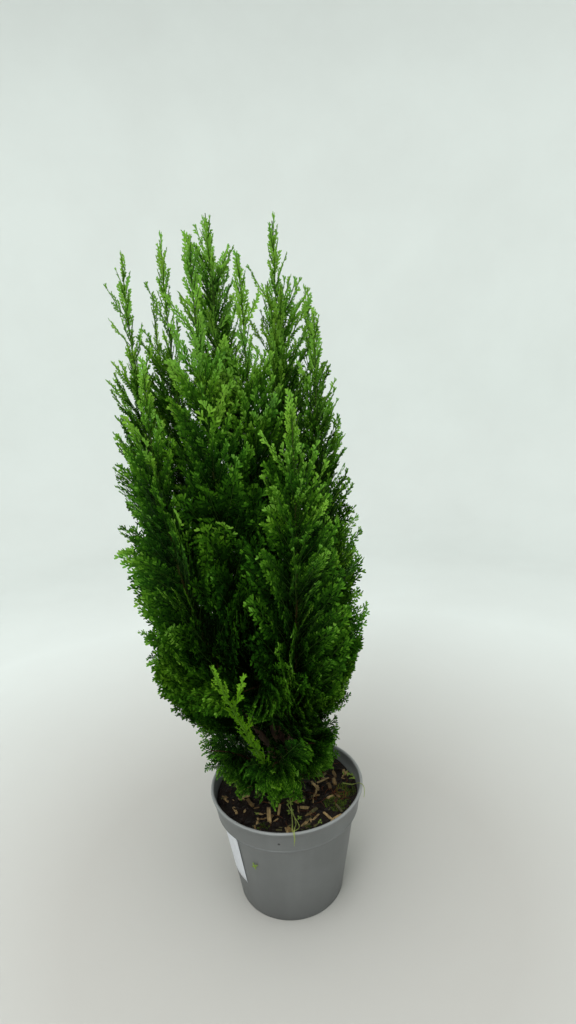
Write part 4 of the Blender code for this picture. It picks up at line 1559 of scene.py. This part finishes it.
def side_spray(mass, rng, share, angle):
    root, (along, side, other) = point_at(mass["path"], share)
    wide, narrow = mass["open"]
    long, short = mass["length"]
    out = side * math.cos(angle) + other * math.sin(angle)
    spread = math.radians(wide + (narrow - wide) * share + rng.uniform(-7.0, 7.0))
    direction = along * math.cos(spread) + out * math.sin(spread)
    direction += Vector((0.0, 0.0, mass["lift"]))
    direction.normalize()
    width = (along - direction * along.dot(direction)).normalized()
    width = turned(width, direction, rng.uniform(-1.0, 1.0))
    length = (long + (short - long) * share) * rng.uniform(0.88, 1.12)
    return root, direction, width, length, PLUME if share > mass["slender"] else FAN


def tip_spray(mass, rng):
    path = mass["path"]
    along, side, other = frame_of(path, len(path) - 1)
    width = turned(side, along, rng.uniform(-0.5, 0.5))
    return path[-1] - along * mass["tip"], along, width, mass["tip"], PLUME


def length_of(path):
    return sum((second - first).length for first, second in zip(path, path[1:]))


def last_share(mass):
    return 1.0 - TIP_OVERLAP * mass["tip"] / length_of(mass["path"])


def spray_slots(mass):
    rng = random.Random(mass["seed"])
    last = last_share(mass)
    slots = [[tip_spray(mass, rng)]]
    for index in range(mass["sprays"]):
        share = mass["from"] + (last - mass["from"]) * index / (mass["sprays"] - 1)
        angle = GOLDEN * index + rng.uniform(-0.4, 0.4)
        slots.append([side_spray(mass, rng, share, angle + turn) for turn in SIDE_TURNS])
    return slots


def crown_at(points):
    """How far points stand from the crown's middle line, and the crown's reach there."""
    heights = points[:, 2]
    across = points[:, 0] - np.interp(heights, CROWN_LEVELS, CROWN_MIDDLES)
    away = np.hypot(across, points[:, 1])
    return away, np.interp(heights, CROWN_LEVELS, CROWN_REACH)


def extra_slots(mass, count, path, start):
    """Places for finer sprays between those of the source, and down its limb.

    Most stand out to both sides of the limb, so that the crown shows their flat faces.
    """
    rng = random.Random(EXTRA_SEED + mass["seed"])
    whole = {**mass, "path": path}
    last = LEADER_LAST if mass["name"].startswith("leader") else last_share(whole) + 0.05
    slots = []
    for index in range(count):
        share = start + (last - start) * (index + 0.5) / count
        root, (along, side, other) = point_at(path, share)
        middle = float(np.interp(root.z, CROWN_LEVELS, CROWN_MIDDLES))
        outward = Vector((root.x - middle, root.y, 0.0))
        angle = math.atan2(outward.dot(other), outward.dot(side))
        if index % FRONT_EVERY:
            angle += (1 if index % 2 else -1) * rng.uniform(*SIDE_ANGLES)
        else:
            angle += rng.uniform(-0.4, 0.4)
        slots.append([side_spray(whole, rng, share, angle + turn) for turn in SIDE_TURNS])
    return slots


def spray_samples(root, direction, width, length, shape):
    rows = np.linspace(ROOT_SHARE, 1.0, SAMPLE_ROWS)
    halves = np.interp(rows, [x for x, y in shape], [y for x, y in shape])
    across = np.linspace(-1.0, 1.0, SAMPLES_ACROSS)
    ahead = np.repeat(rows, len(across)) * length
    aside = np.outer(halves, across).ravel() * length
    return np.array(root) + np.outer(ahead, direction) + np.outer(aside, width)


def clear_of_pot(points):
    radius = np.hypot(points[:, 0], points[:, 1])
    inside = (points[:, 2] > SOIL_TOP + SOIL_HUMP + 0.002) & (radius < RIM_RADIUS - 0.012)
    return bool(np.all((points[:, 2] > RIM_CLEAR) | inside))


def middles_of(spray):
    root, direction, width, length = spray[:4]
    return [root + direction * (share * length) for share in SPRAY_MIDDLES]


def stands_apart(spray, kept, least):
    ours = middles_of(spray)
    theirs = [point for other in kept for point in middles_of(other)]
    return all((one - two).length > least for one in ours for two in theirs)


class Space:
    """The room round one mass's stem, which its sprays keep to."""

    def __init__(self, own, others, limbs):
        self.own = own
        self.others = others
        self.limbs = limbs

    def holds(self, points, slack=-CLEAR):
        if np.any(points < BOX_LOW) or np.any(points > BOX_HIGH):
            return False
        if not np.all(nearest(points, self.own) - slack < nearest(points, self.others)):
            return False
        return room_beside(points, self.limbs) > LIMB_CLEAR + SPRAY_THICK / 2


def fitting_spray(slot, kept, least, space, tries=LENGTH_TRIES, slack=-CLEAR):
    for share in tries:
        for root, direction, width, length, shape in slot:
            spray = (root, direction, width, length * share, shape)
            points = spray_samples(*spray)
            if not clear_of_pot(points) or not stands_apart(spray, kept, least):
                continue
            if space.holds(points, slack):
                return spray
    return None


def facing_out(spray, centre, rng, space):
    """The spray turned, where there is room, so that its flat face looks out of the crown."""
    root, direction, width, length, shape = spray
    rise = FACE_RISE * (root - centre).length
    outward = Vector((root.x - centre.x, root.y - centre.y, rise))
    level = outward.cross(direction)
    if level.length < 1e-6:
        return spray
    level.normalize()
    lean = rng.uniform(-FACE_LEAN, FACE_LEAN)
    for turn in FACE_TURNS:
        tried = (root, direction, turned(level, direction, turn + lean), length, shape)
        if space.holds(spray_samples(*tried), EXTRA_SLACK):
            return tried
    return spray


def fitting_sprays(mass, space, wide_space, path):
    """The source's sprays, and then finer ones between them, each in its mass's space."""
    kept = []
    for slot in spray_slots(mass):
        spray = fitting_spray(slot, kept, mass["apart"], space)
        if spray:
            kept.append(spray)
    bold = len(kept)
    start = EXTRA_FROM if mass["name"].startswith("leader") else mass["from"] * 0.4
    count = int(mass["sprays"] * EXTRA_SPRAYS * (1.0 if start > EXTRA_FROM else LEADER_MORE))
    tries = MIDDLE_TRIES if mass["name"].startswith("middle") else EXTRA_TRIES
    for slot in extra_slots(mass, count, path, start):
        spray = fitting_spray(slot, kept, EXTRA_APART, wide_space, tries, EXTRA_SLACK)
        if spray:
            kept.append(spray)
    rng = random.Random(mass["seed"] + TURN_SEED)
    tip, *rest = kept
    centre = trunk_axis(min(max(tip[0].z, SOIL_TOP), TRUNK_TOP))
    return [tip, *[facing_out(spray, centre, rng, wide_space) for spray in rest]], bold


# Sprays in their own outline, as blades of six corners and two faces


def twiglet(root, angle, length, width, roll, lift):
    """A blunt blade in a spray's own plane, rolled about its own line."""
    ahead = np.array([math.cos(angle), math.sin(angle), lift])
    side = np.array([-math.sin(angle), math.cos(angle), 0.0]) * math.cos(roll)
    side[2] = math.sin(roll)
    middle = root + ahead * length * 0.60
    middle[2] += length * 0.06
    return blade((root, middle, root + ahead * length), side * width / 2, 0.60, 1.0, 0.62)


def pinna(root, angle, length, style, rng, spray, age):
    """One side branch of a spray, curved forwards and set with twiglets on both sides."""
    blades, ages = spray
    curl = math.copysign(style["curl"], angle) * rng.uniform(0.6, 1.3)
    lift = rng.uniform(-0.08, 0.08)

    def place(share):
        turn = angle - curl * share / 2
        return root + np.array([math.cos(turn), math.sin(turn), lift]) * (share * length)

    across = np.array([-math.sin(angle), math.cos(angle), rng.uniform(-0.3, 0.3)])
    rib = (place(0.0), place(0.5), place(1.0))
    blades.append(blade(rib, across * style["rib"] / 2, 1.0, 1.0, 0.6))
    ages.append(age + 0.10)
    count = max(round(length / style["step"]), 1)
    for index in range(count):
        for side in (-1, 1):
            share = (index + 0.60 + 0.25 * side) / count
            if share > 0.95:
                continue
            turn = style["twig_angle"] * rng.uniform(0.88, 1.12)
            size = style["twig"] * (0.75 + 1.6 * share * (1.0 - share)) * rng.uniform(0.88, 1.12)
            size = min(size, 0.8 * length)
            roll = side * rng.uniform(0.05, 0.35)
            heading = angle - curl * share + side * turn
            lean = rng.uniform(-0.1, 0.15)
            blades.append(twiglet(place(share), heading, size, style["wide"], roll, lean))
            ages.append(age + 0.08 - 0.60 * share**1.5)
    roll = rng.uniform(-0.4, 0.4)
    end = twiglet(place(0.90), angle - curl, style["twig"] * 0.7, style["wide"], roll, 0.1)
    blades.append(end)
    ages.append(age - 0.60)


def spray_template(kind, length, seed):
    """A spray on the X axis: its blades and how old each is."""
    style = STYLES[kind]
    rng = random.Random(seed)
    blades, ages = [], []
    count = max(round(0.90 * length / style["pinna_step"]), 3)
    for index in range(count * 2):
        side = 1 if index % 2 else -1
        share = 0.09 + 0.87 * (index + 0.5) / (count * 2)
        rise = min(share / style["widest"], 1.0) ** 0.6
        fall = min((1.0 - share) / (1.0 - style["widest"]), 1.0)
        angle = style["angles"][0] + (style["angles"][1] - style["angles"][0]) * share
        angle = math.radians(angle + rng.uniform(-3.0, 3.0))
        reach = style["half"] * length * rise * (0.14 + 0.86 * fall) / math.sin(angle)
        reach *= rng.uniform(0.92, 1.07)
        first = len(blades)
        root = np.array([share * length, 0.0, 0.0])
        reach = max(reach, LEAST_PINNA)
        pinna(root, side * angle, reach, style, rng, (blades, ages), 1.0 - 0.75 * share)
        turn = rng.uniform(-1.0, 1.0) * style["round"]
        tilted = np.array(blades[first:])
        y, z = tilted[..., 1].copy(), tilted[..., 2].copy()
        tilted[..., 1] = y * math.cos(turn) - z * math.sin(turn)
        tilted[..., 2] = y * math.sin(turn) + z * math.cos(turn)
        blades[first:] = list(tilted)
    for turn in (-0.5, 0.5):
        end = np.array([length * 0.95, 0.0, 0.0])
        blades.append(np.array(twiglet(end, turn * 0.5, END_BLADE, style["wide"], turn, 0.0)))
        ages.append(0.1)
    return np.array(blades), np.array(ages)


def all_templates():
    made = {}
    for kind, lengths in (("fan", FAN_LENGTHS), ("plume", PLUME_LENGTHS)):
        for length in lengths:
            for variant in range(VARIANTS):
                seed = int(length * 1e4) * 10 + variant
                made[kind, length, variant] = spray_template(kind, length, seed)
    return made


def placed(points, spray, scale, bend):
    """Points of a template carried to a spray's place, and bent along it."""
    root, direction, width, length = spray[:4]
    normal = direction.cross(width)
    axes = np.array([tuple(direction), tuple(width), tuple(normal)]) * scale
    moved = points @ axes + np.array(tuple(root))
    share = (points[..., 0] * scale / length)[..., None]
    return moved + np.array(bend) * length * share**2


def inside_crown(points):
    """Whether points keep to the solids' reach and to the crown's outline at each height."""
    if np.any(points < BOX_LOW) or np.any(points > BOX_HIGH):
        return False
    away, reach = crown_at(points)
    return bool(np.all(away < reach * CROWN_SLACK))


def dressed_spray(spray, templates, rng, droop):
    """The blades of one spray and their ages, with the points of its main rib."""
    root, direction, width, length, shape = spray
    kind, lengths = ("fan", FAN_LENGTHS) if shape is FAN else ("plume", PLUME_LENGTHS)
    near = min(lengths, key=lambda other: abs(math.log(other / length)))
    blades, ages = templates[kind, near, rng.randrange(VARIANTS)]
    bend = [rng.uniform(-BEND, BEND) for axis in range(3)]
    bend[2] += droop
    rib = np.zeros((RIB_ROWS, 3))
    rib[:, 0] = np.linspace(0.0, RIB_SHARE, RIB_ROWS) * near
    for attempt in range(SHRINK_TRIES):
        spray = (root, direction, width, length, shape)
        corners = placed(blades, spray, length / near, bend)
        if inside_crown(corners.reshape(-1, 3)):
            break
        length *= SHRINK
    return corners, ages, placed(rib, spray, length / near, bend)


def rising(value, start, over):
    return np.clip((value - start) / over, 0.0, 1.0)


def tone_of(middles, ages, spray_tone):
    """How young each blade is and how much painted light it gets, from nought in the painted shade
    inside to one at the lit tips.
    """
    away, reach = crown_at(middles)
    out = np.clip(away / reach, 0.0, 1.1) ** 2
    top = rising(middles[:, 2], TOP_FROM, TOP_OVER)
    high = rising(middles[:, 2], HIGH_FROM, HIGH_OVER)
    young = 1.0 - np.clip(ages, 0.0, 1.2)
    grain = np.random.default_rng(len(middles)).normal(0.0, TONE_GRAIN, len(middles))
    lit = TONE_OUT * np.maximum(out, top) + TONE_HIGH * high**1.5 + TONE_BASE
    return lit + TONE_YOUNG * young + spray_tone + grain


def shoot_tips(path):
    """The young shoot's two upright side tips."""
    up = Vector(SHOOT_TIP_UP).normalized()
    width = up.cross(Vector((0.0, -1.0, 0.0))).normalized()
    return [(point_at(path, share)[0], up, width, length, PLUME) for share, length in SHOOT_TIPS]


def clothing(path, step, length, spread, seed):
    """Short plumes pressed to a stem on all its sides, where scale leaves hide the bark."""
    rng = random.Random(seed)
    reach = length_of(path)
    count = int((reach - length) / step)
    sprays = []
    for index in range(count):
        share = (index + 0.5) / count * (1.0 - length / reach)
        root, (along, side, other) = point_at(path, share)
        angle = GOLDEN * index
        out = side * math.cos(angle) + other * math.sin(angle)
        direction = (along + out * spread).normalized()
        width = along.cross(out).normalized()
        sprays.append((root, direction, width, length * rng.uniform(0.8, 1.05), PLUME))
    return sprays


def clothed(mass, sprays, boughs):
    """A mass's sprays with the plumes that hide its stem, its bough and the trunk."""
    name, seed = mass["name"], mass["seed"]
    leader = name.removeprefix("leader_")
    if name == "front_shoot":
        sprays = [(*spray[:3], spray[3] * SHOOT_SHARE, PLUME) for spray in sprays]
        sprays += shoot_tips(mass["path"])
    if name == "front_shoot" or leader != name:
        sprays += clothing(mass["path"], *STEM_CLOTHING, seed + STEM_SEED)
    if leader == TRUNK_LEADER:
        core = [trunk_axis(float(height)) for height in np.linspace(*TRUNK_COVERED, 6)]
        sprays += clothing(core, *TRUNK_CLOTHING, seed + TRUNK_SEED)
    if leader in FRONT_LEADERS:
        sprays += clothing(boughs[leader][1], *BOUGH_CLOTHING, seed + BOUGH_SEED)
    return sprays


def limb_shapes(boughs):
    count = round((TRUNK_TOP - SOIL_TOP) / FINE_STEP)
    heights = [float(height) for height in np.linspace(SOIL_TOP, TRUNK_TOP, count)]
    axis = np.array([tuple(trunk_axis(height)) for height in heights])
    trunk = (axis, np.array([trunk_radius(height) for height in heights]))
    return [trunk, *[bough_shape(path) for fork, path in boughs.values()]]


def spaces_of(masses, boughs):
    """For each mass its limb, the space of the source's sprays and that of finer ones."""
    stems = [samples_of(mass["path"]) for mass in masses]
    limbs = limb_shapes(boughs)
    paths = []
    for mass in masses:
        bough = boughs.get(mass["name"].removeprefix("leader_"))
        paths.append([*(bough[1][2:-1] if bough else []), *mass["path"]])
    wide_stems = [samples_of(path) for path in paths]
    for index, path in enumerate(paths):
        others = np.concatenate(stems[:index] + stems[index + 1:])
        wide_others = np.concatenate(wide_stems[:index] + wide_stems[index + 1:])
        space = Space(stems[index], others, limbs)
        yield path, space, Space(wide_stems[index], wide_others, [])


def grow_foliage():
    """Every blade with its tone, the lime shoot's blades apart, and all ribs and stems."""
    bark = surface_of("trunk")
    boughs = grow_boughs(bark)
    masses = all_masses(boughs, bark)
    templates = all_templates()
    blades, tones, lime, twigs, ribs, lime_stems = [], [], [], [], [], []
    for mass, (path, space, wide_space) in zip(masses, spaces_of(masses, boughs)):
        rng = random.Random(mass["seed"] + DRESS_SEED)
        droop = LOW_DROOP if mass["name"].startswith("low") else DROOP
        young = mass["name"] == "front_shoot"
        sprays, bold = fitting_sprays(mass, space, wide_space, path)
        for place, spray in enumerate(clothed(mass, sprays, boughs)):
            corners, ages, rib = dressed_spray(spray, templates, rng, droop)
            rib = tube_arrays(rib, np.linspace(*RIB_RADII, RIB_ROWS), 4)
            (lime_stems if young else ribs).append(rib)
            if young:
                lime.append(corners)
                continue
            # Painted shade on the finer sprays, and painted light on the source's sprays and
            # towards the top
            shade = rng.uniform(*(BOLD_SHADES if place < bold else EXTRA_SHADES))
            shade += TOP_SHADE * rising(spray[0].z, TOP_SHADE_FROM, TOP_OVER)
            blades.append(corners)
            tones.append(tone_of(corners.mean(axis=1), ages, shade))
        stem = smoothed(mass["path"], STEM_ROWS)
        stem = tube_arrays(stem, np.linspace(*LOOKS_STEM, STEM_ROWS), 8)
        (lime_stems if young else twigs).append(stem)
    leaves = np.concatenate(blades), np.concatenate(tones), np.concatenate(lime)
    return leaves, joined(twigs), joined(ribs), joined(lime_stems)


def leaf_pieces(name, blades, material):
    """Blades of one green, joined into pieces that are not too large."""
    parts = max(math.ceil(len(blades) / PIECE_BLADES), 1)
    for index, share in enumerate(np.array_split(blades, parts)):
        label = name if parts == 1 else f"{name}_{index + 1}"
        hand_over(array_piece(label, blade_arrays(share), material), MASSES)


def build_foliage(size):
    (blades, tones, lime), twigs, ribs, lime_stems = grow_foliage()
    # Each blade takes the lit or shaded copy of the green that its painted tone falls on
    classes = np.digitize(tones, GREEN_STEPS)
    for index, (name, colour) in enumerate(GREENS.items()):
        green = leaf_green(name + "_green", times(colour, size.brightness))
        leaf_pieces(name + "_sprays", blades[classes == index], green)
    high = lime.mean(axis=1)[:, 2] > LIME_TIP_FROM
    green = leaf_green("lime_green", tuple(size.lime))
    leaf_pieces("lime_sprays", lime[~high], green)
    leaf_pieces("lime_tips", lime[high], leaf_green("lime_tip", LIME_TIP))
    stems = array_piece("twigs", twigs, twig_bark(), True)
    hand_over(stems, MASSES)
    green = plain_plant("green_rib", GREEN_RIB, 0.25, 0.7)
    hand_over(array_piece("spray_ribs", ribs, green, True), MASSES)
    pale = plain_plant("young_stem", YOUNG_STEM, 0.20, 0.6)
    shoot = array_piece("lime_stem", lime_stems, pale, True)
    hand_over(shoot, ["front_shoot"])


# Stage


def build_stage(size):
    """A pale floor that sweeps up into walls all round, soft light and the camera."""
    middle = size.floor - FLOOR_BEND
    profile = [(0.0, 0.0), (size.floor * 0.5, 0.0), (middle, 0.0)]
    for step in range(1, FLOOR_ROWS + 1):
        turn = step / FLOOR_ROWS * math.pi / 2
        across, down = FLOOR_BEND * math.sin(turn), FLOOR_BEND * math.cos(turn)
        profile.append((middle + across, FLOOR_BEND - down))
    profile.append((size.floor, size.wall))
    bm = spun(profile, FLOOR_STEPS)
    bmesh.ops.reverse_faces(bm, faces=bm.faces)
    material = backdrop(tuple(size.floor_colour), tuple(size.wall_colour))
    floor = mesh_piece("pale_floor", bm, material)
    floor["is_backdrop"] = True
    for name, (place, target, wide) in LIGHTS.items():
        add_light(name, place, target, wide, getattr(size, name))
    world = bpy.data.worlds.new("soft_room")
    bpy.context.scene.world = world
    world.use_nodes = True
    sky = world.node_tree.nodes["Background"]
    sky.inputs["Color"].default_value = (*ROOM, 1.0)
    sky.inputs["Strength"].default_value = size.ambient
    add_camera()


def add_light(name, place, target, wide, power):
    light = bpy.data.lights.new(name, "AREA")
    light.shape = "DISK"
    light.size = wide
    light.energy = power
    lamp = bpy.data.objects.new(name, light)
    bpy.context.scene.collection.objects.link(lamp)
    away = Vector(target) - Vector(place)
    turn = away.to_track_quat("-Z", "Y").to_matrix().to_4x4()
    lamp.matrix_world = Matrix.Translation(place) @ turn


def add_camera():
    """The camera stands where the plant was seen from, with the same narrow tilt."""
    data = bpy.data.cameras.new("view")
    data.sensor_width = SENSOR
    data.lens = PIXELS_FOCAL * SENSOR / PIXELS_TALL
    camera = bpy.data.objects.new("view", data)
    bpy.context.scene.collection.objects.link(camera)
    right, up = Vector(CAMERA_RIGHT), Vector(CAMERA_UP)
    across = right * math.cos(CAMERA_ROLL) + up * math.sin(CAMERA_ROLL)
    upward = up * math.cos(CAMERA_ROLL) - right * math.sin(CAMERA_ROLL)
    back = across.cross(upward).normalized()
    turn = Matrix((across.normalized(), back.cross(across).normalized(), back)).transposed()
    camera.matrix_world = Matrix.Translation(CAMERA_PLACE) @ turn.to_4x4()
    bpy.context.scene.camera = camera


# The sizes and colours that a user would change


def length_value(name, description, default):
    return bpy.props.FloatProperty(
        name=name, description=description, default=default, unit="LENGTH", precision=4
    )


def plain_value(name, description, default, **limits):
    return bpy.props.FloatProperty(
        name=name, description=description, default=default, **limits
    )


def count_value(name, description, default):
    return bpy.props.IntProperty(name=name, description=description, default=default, min=0)


def colour_value(name, description, default):
    return bpy.props.FloatVectorProperty(
        name=name, description=description, default=default, subtype="COLOR", min=0.0, max=1.0
    )


class PotSettings(bpy.types.PropertyGroup):
    colour: colour_value("Plastic", "Colour of the pot's plastic", (0.150, 0.154, 0.154))
    edge: length_value("Edge", "Width of the rounding along the pot's edges", 0.0004)


class LabelSettings(bpy.types.PropertyGroup):
    colour: colour_value("Paper", "Colour of the blank label", (0.72, 0.73, 0.78))
    bearing: plain_value("Bearing", "Where the label's middle lies, in degrees", 206.0)
    turn: plain_value("Turn", "How far the label reaches round the pot, in degrees", 36.0)
    middle: length_value("Middle", "Height of the label's middle", 0.0600)
    height: length_value("Height", "Height of the label", 0.0520)


class CompostSettings(bpy.types.PropertyGroup):
    colour: colour_value("Compost", "Colour of the compost", (0.0095, 0.0052, 0.0036))
    crumbs: count_value("Crumbs", "Loose crumbs", 900)
    chips: count_value("Chips", "Loose wood chips", 110)
    rootlets: count_value("Rootlets", "Loose fibres", 90)


class PlantSettings(bpy.types.PropertyGroup):
    bark: colour_value("Bark", "Colour of the bark", (0.060, 0.029, 0.017))
    lime: colour_value("Young shoot", "Colour of the young shoot", LIME)
    brightness: plain_value("Brightness", "How bright the greens are", 1.0, min=0.0)


class StageSettings(bpy.types.PropertyGroup):
    floor: length_value("Floor", "Radius of the floor", 1.7)
    wall: length_value("Wall", "Height of the walls round the floor", 2.3)
    floor_colour: colour_value("Floor", "Colour of the floor", (0.50, 0.49, 0.465))
    wall_colour: colour_value("Wall", "Colour of the walls", (0.80, 0.84, 0.82))
    top_light: plain_value("Top light", "Watts", 24.0)
    front_light: plain_value("Front light", "Watts", 5.0)
    ambient: plain_value("Ambient", "Light of the room", 0.42)


SETTINGS = {
    "cypress_pot": PotSettings,
    "cypress_label": LabelSettings,
    "cypress_compost": CompostSettings,
    "cypress_plant": PlantSettings,
    "cypress_stage": StageSettings,
}


class MakePot(bpy.types.Operator):
    """Make the nursery pot with its rolled lip, collar and drain holes"""

    bl_idname = "cypress.make_pot"
    bl_label = "Pot"

    def execute(self, context):
        build_pot(context.scene.cypress_pot)
        return {"FINISHED"}


class MakeLabel(bpy.types.Operator):
    """Make the blank label on the side of the pot"""

    bl_idname = "cypress.make_label"
    bl_label = "Blank label"

    def execute(self, context):
        build_label(context.scene.cypress_label)
        return {"FINISHED"}


class MakeCompost(bpy.types.Operator):
    """Make the compost and the crumbs on it"""

    bl_idname = "cypress.make_compost"
    bl_label = "Compost"

    def execute(self, context):
        build_compost(context.scene.cypress_compost)
        build_crumbs(context.scene.cypress_compost)
        return {"FINISHED"}


class MakeLitter(bpy.types.Operator):
    """Scatter wood chips and rootlets, and grow moss, seedlings and runners"""

    bl_idname = "cypress.make_litter"
    bl_label = "Chips, moss and weeds"

    def execute(self, context):
        size = context.scene.cypress_compost
        build_chips(size)
        build_rootlets(size)
        build_moss()
        build_seedlings()
        build_runners()
        return {"FINISHED"}


class MakeBark(bpy.types.Operator):
    """Make the trunk and the boughs with their ridged bark"""

    bl_idname = "cypress.make_bark"
    bl_label = "Trunk and boughs"

    def execute(self, context):
        build_bark(context.scene.cypress_plant)
        return {"FINISHED"}


class MakeFoliage(bpy.types.Operator):
    """Grow the stems and the flat sprays of foliage"""

    bl_idname = "cypress.make_foliage"
    bl_label = "Foliage"

    def execute(self, context):
        build_foliage(context.scene.cypress_plant)
        return {"FINISHED"}


class MakeStage(bpy.types.Operator):
    """Lay the pale floor, hang the soft lights and place the camera"""

    bl_idname = "cypress.make_stage"
    bl_label = "Stage"

    def execute(self, context):
        build_stage(context.scene.cypress_stage)
        return {"FINISHED"}


OPERATORS = (MakePot, MakeLabel, MakeCompost, MakeLitter, MakeBark, MakeFoliage, MakeStage)


class CypressPanel(bpy.types.Panel):
    """The pieces of the potted cypress, each with its sizes and colours"""

    bl_idname = "VIEW3D_PT_cypress"
    bl_label = "Potted lawson cypress"
    bl_space_type = "VIEW_3D"
    bl_region_type = "UI"
    bl_category = "Cypress"

    def draw(self, context):
        for name, settings in SETTINGS.items():
            group = getattr(context.scene, name)
            box = self.layout.box()
            for prop in settings.__annotations__:
                box.prop(group, prop)
        for operator in OPERATORS:
            self.layout.operator(operator.bl_idname)


def register():
    for group in SETTINGS.values():
        bpy.utils.register_class(group)
    for name, group in SETTINGS.items():
        setattr(bpy.types.Scene, name, bpy.props.PointerProperty(type=group))
    for operator in OPERATORS:
        bpy.utils.register_class(operator)
    bpy.utils.register_class(CypressPanel)


def unregister():
    bpy.utils.unregister_class(CypressPanel)
    for operator in OPERATORS:
        bpy.utils.unregister_class(operator)
    for name, group in SETTINGS.items():
        delattr(bpy.types.Scene, name)
        bpy.utils.unregister_class(group)


def main():
    register()
    bpy.context.scene.view_settings.view_transform = "Standard"
    bpy.ops.cypress.make_pot()
    bpy.ops.cypress.make_label()
    bpy.ops.cypress.make_compost()
    bpy.ops.cypress.make_litter()
    bpy.ops.cypress.make_bark()
    bpy.ops.cypress.make_foliage()
    bpy.ops.cypress.make_stage()
    boxes = {"cad": CAD_BOX, "visual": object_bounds()}
    {name: [list(corner) for corner in box] for name, box in boxes.items()}


if __name__ == "__main__":
    main()
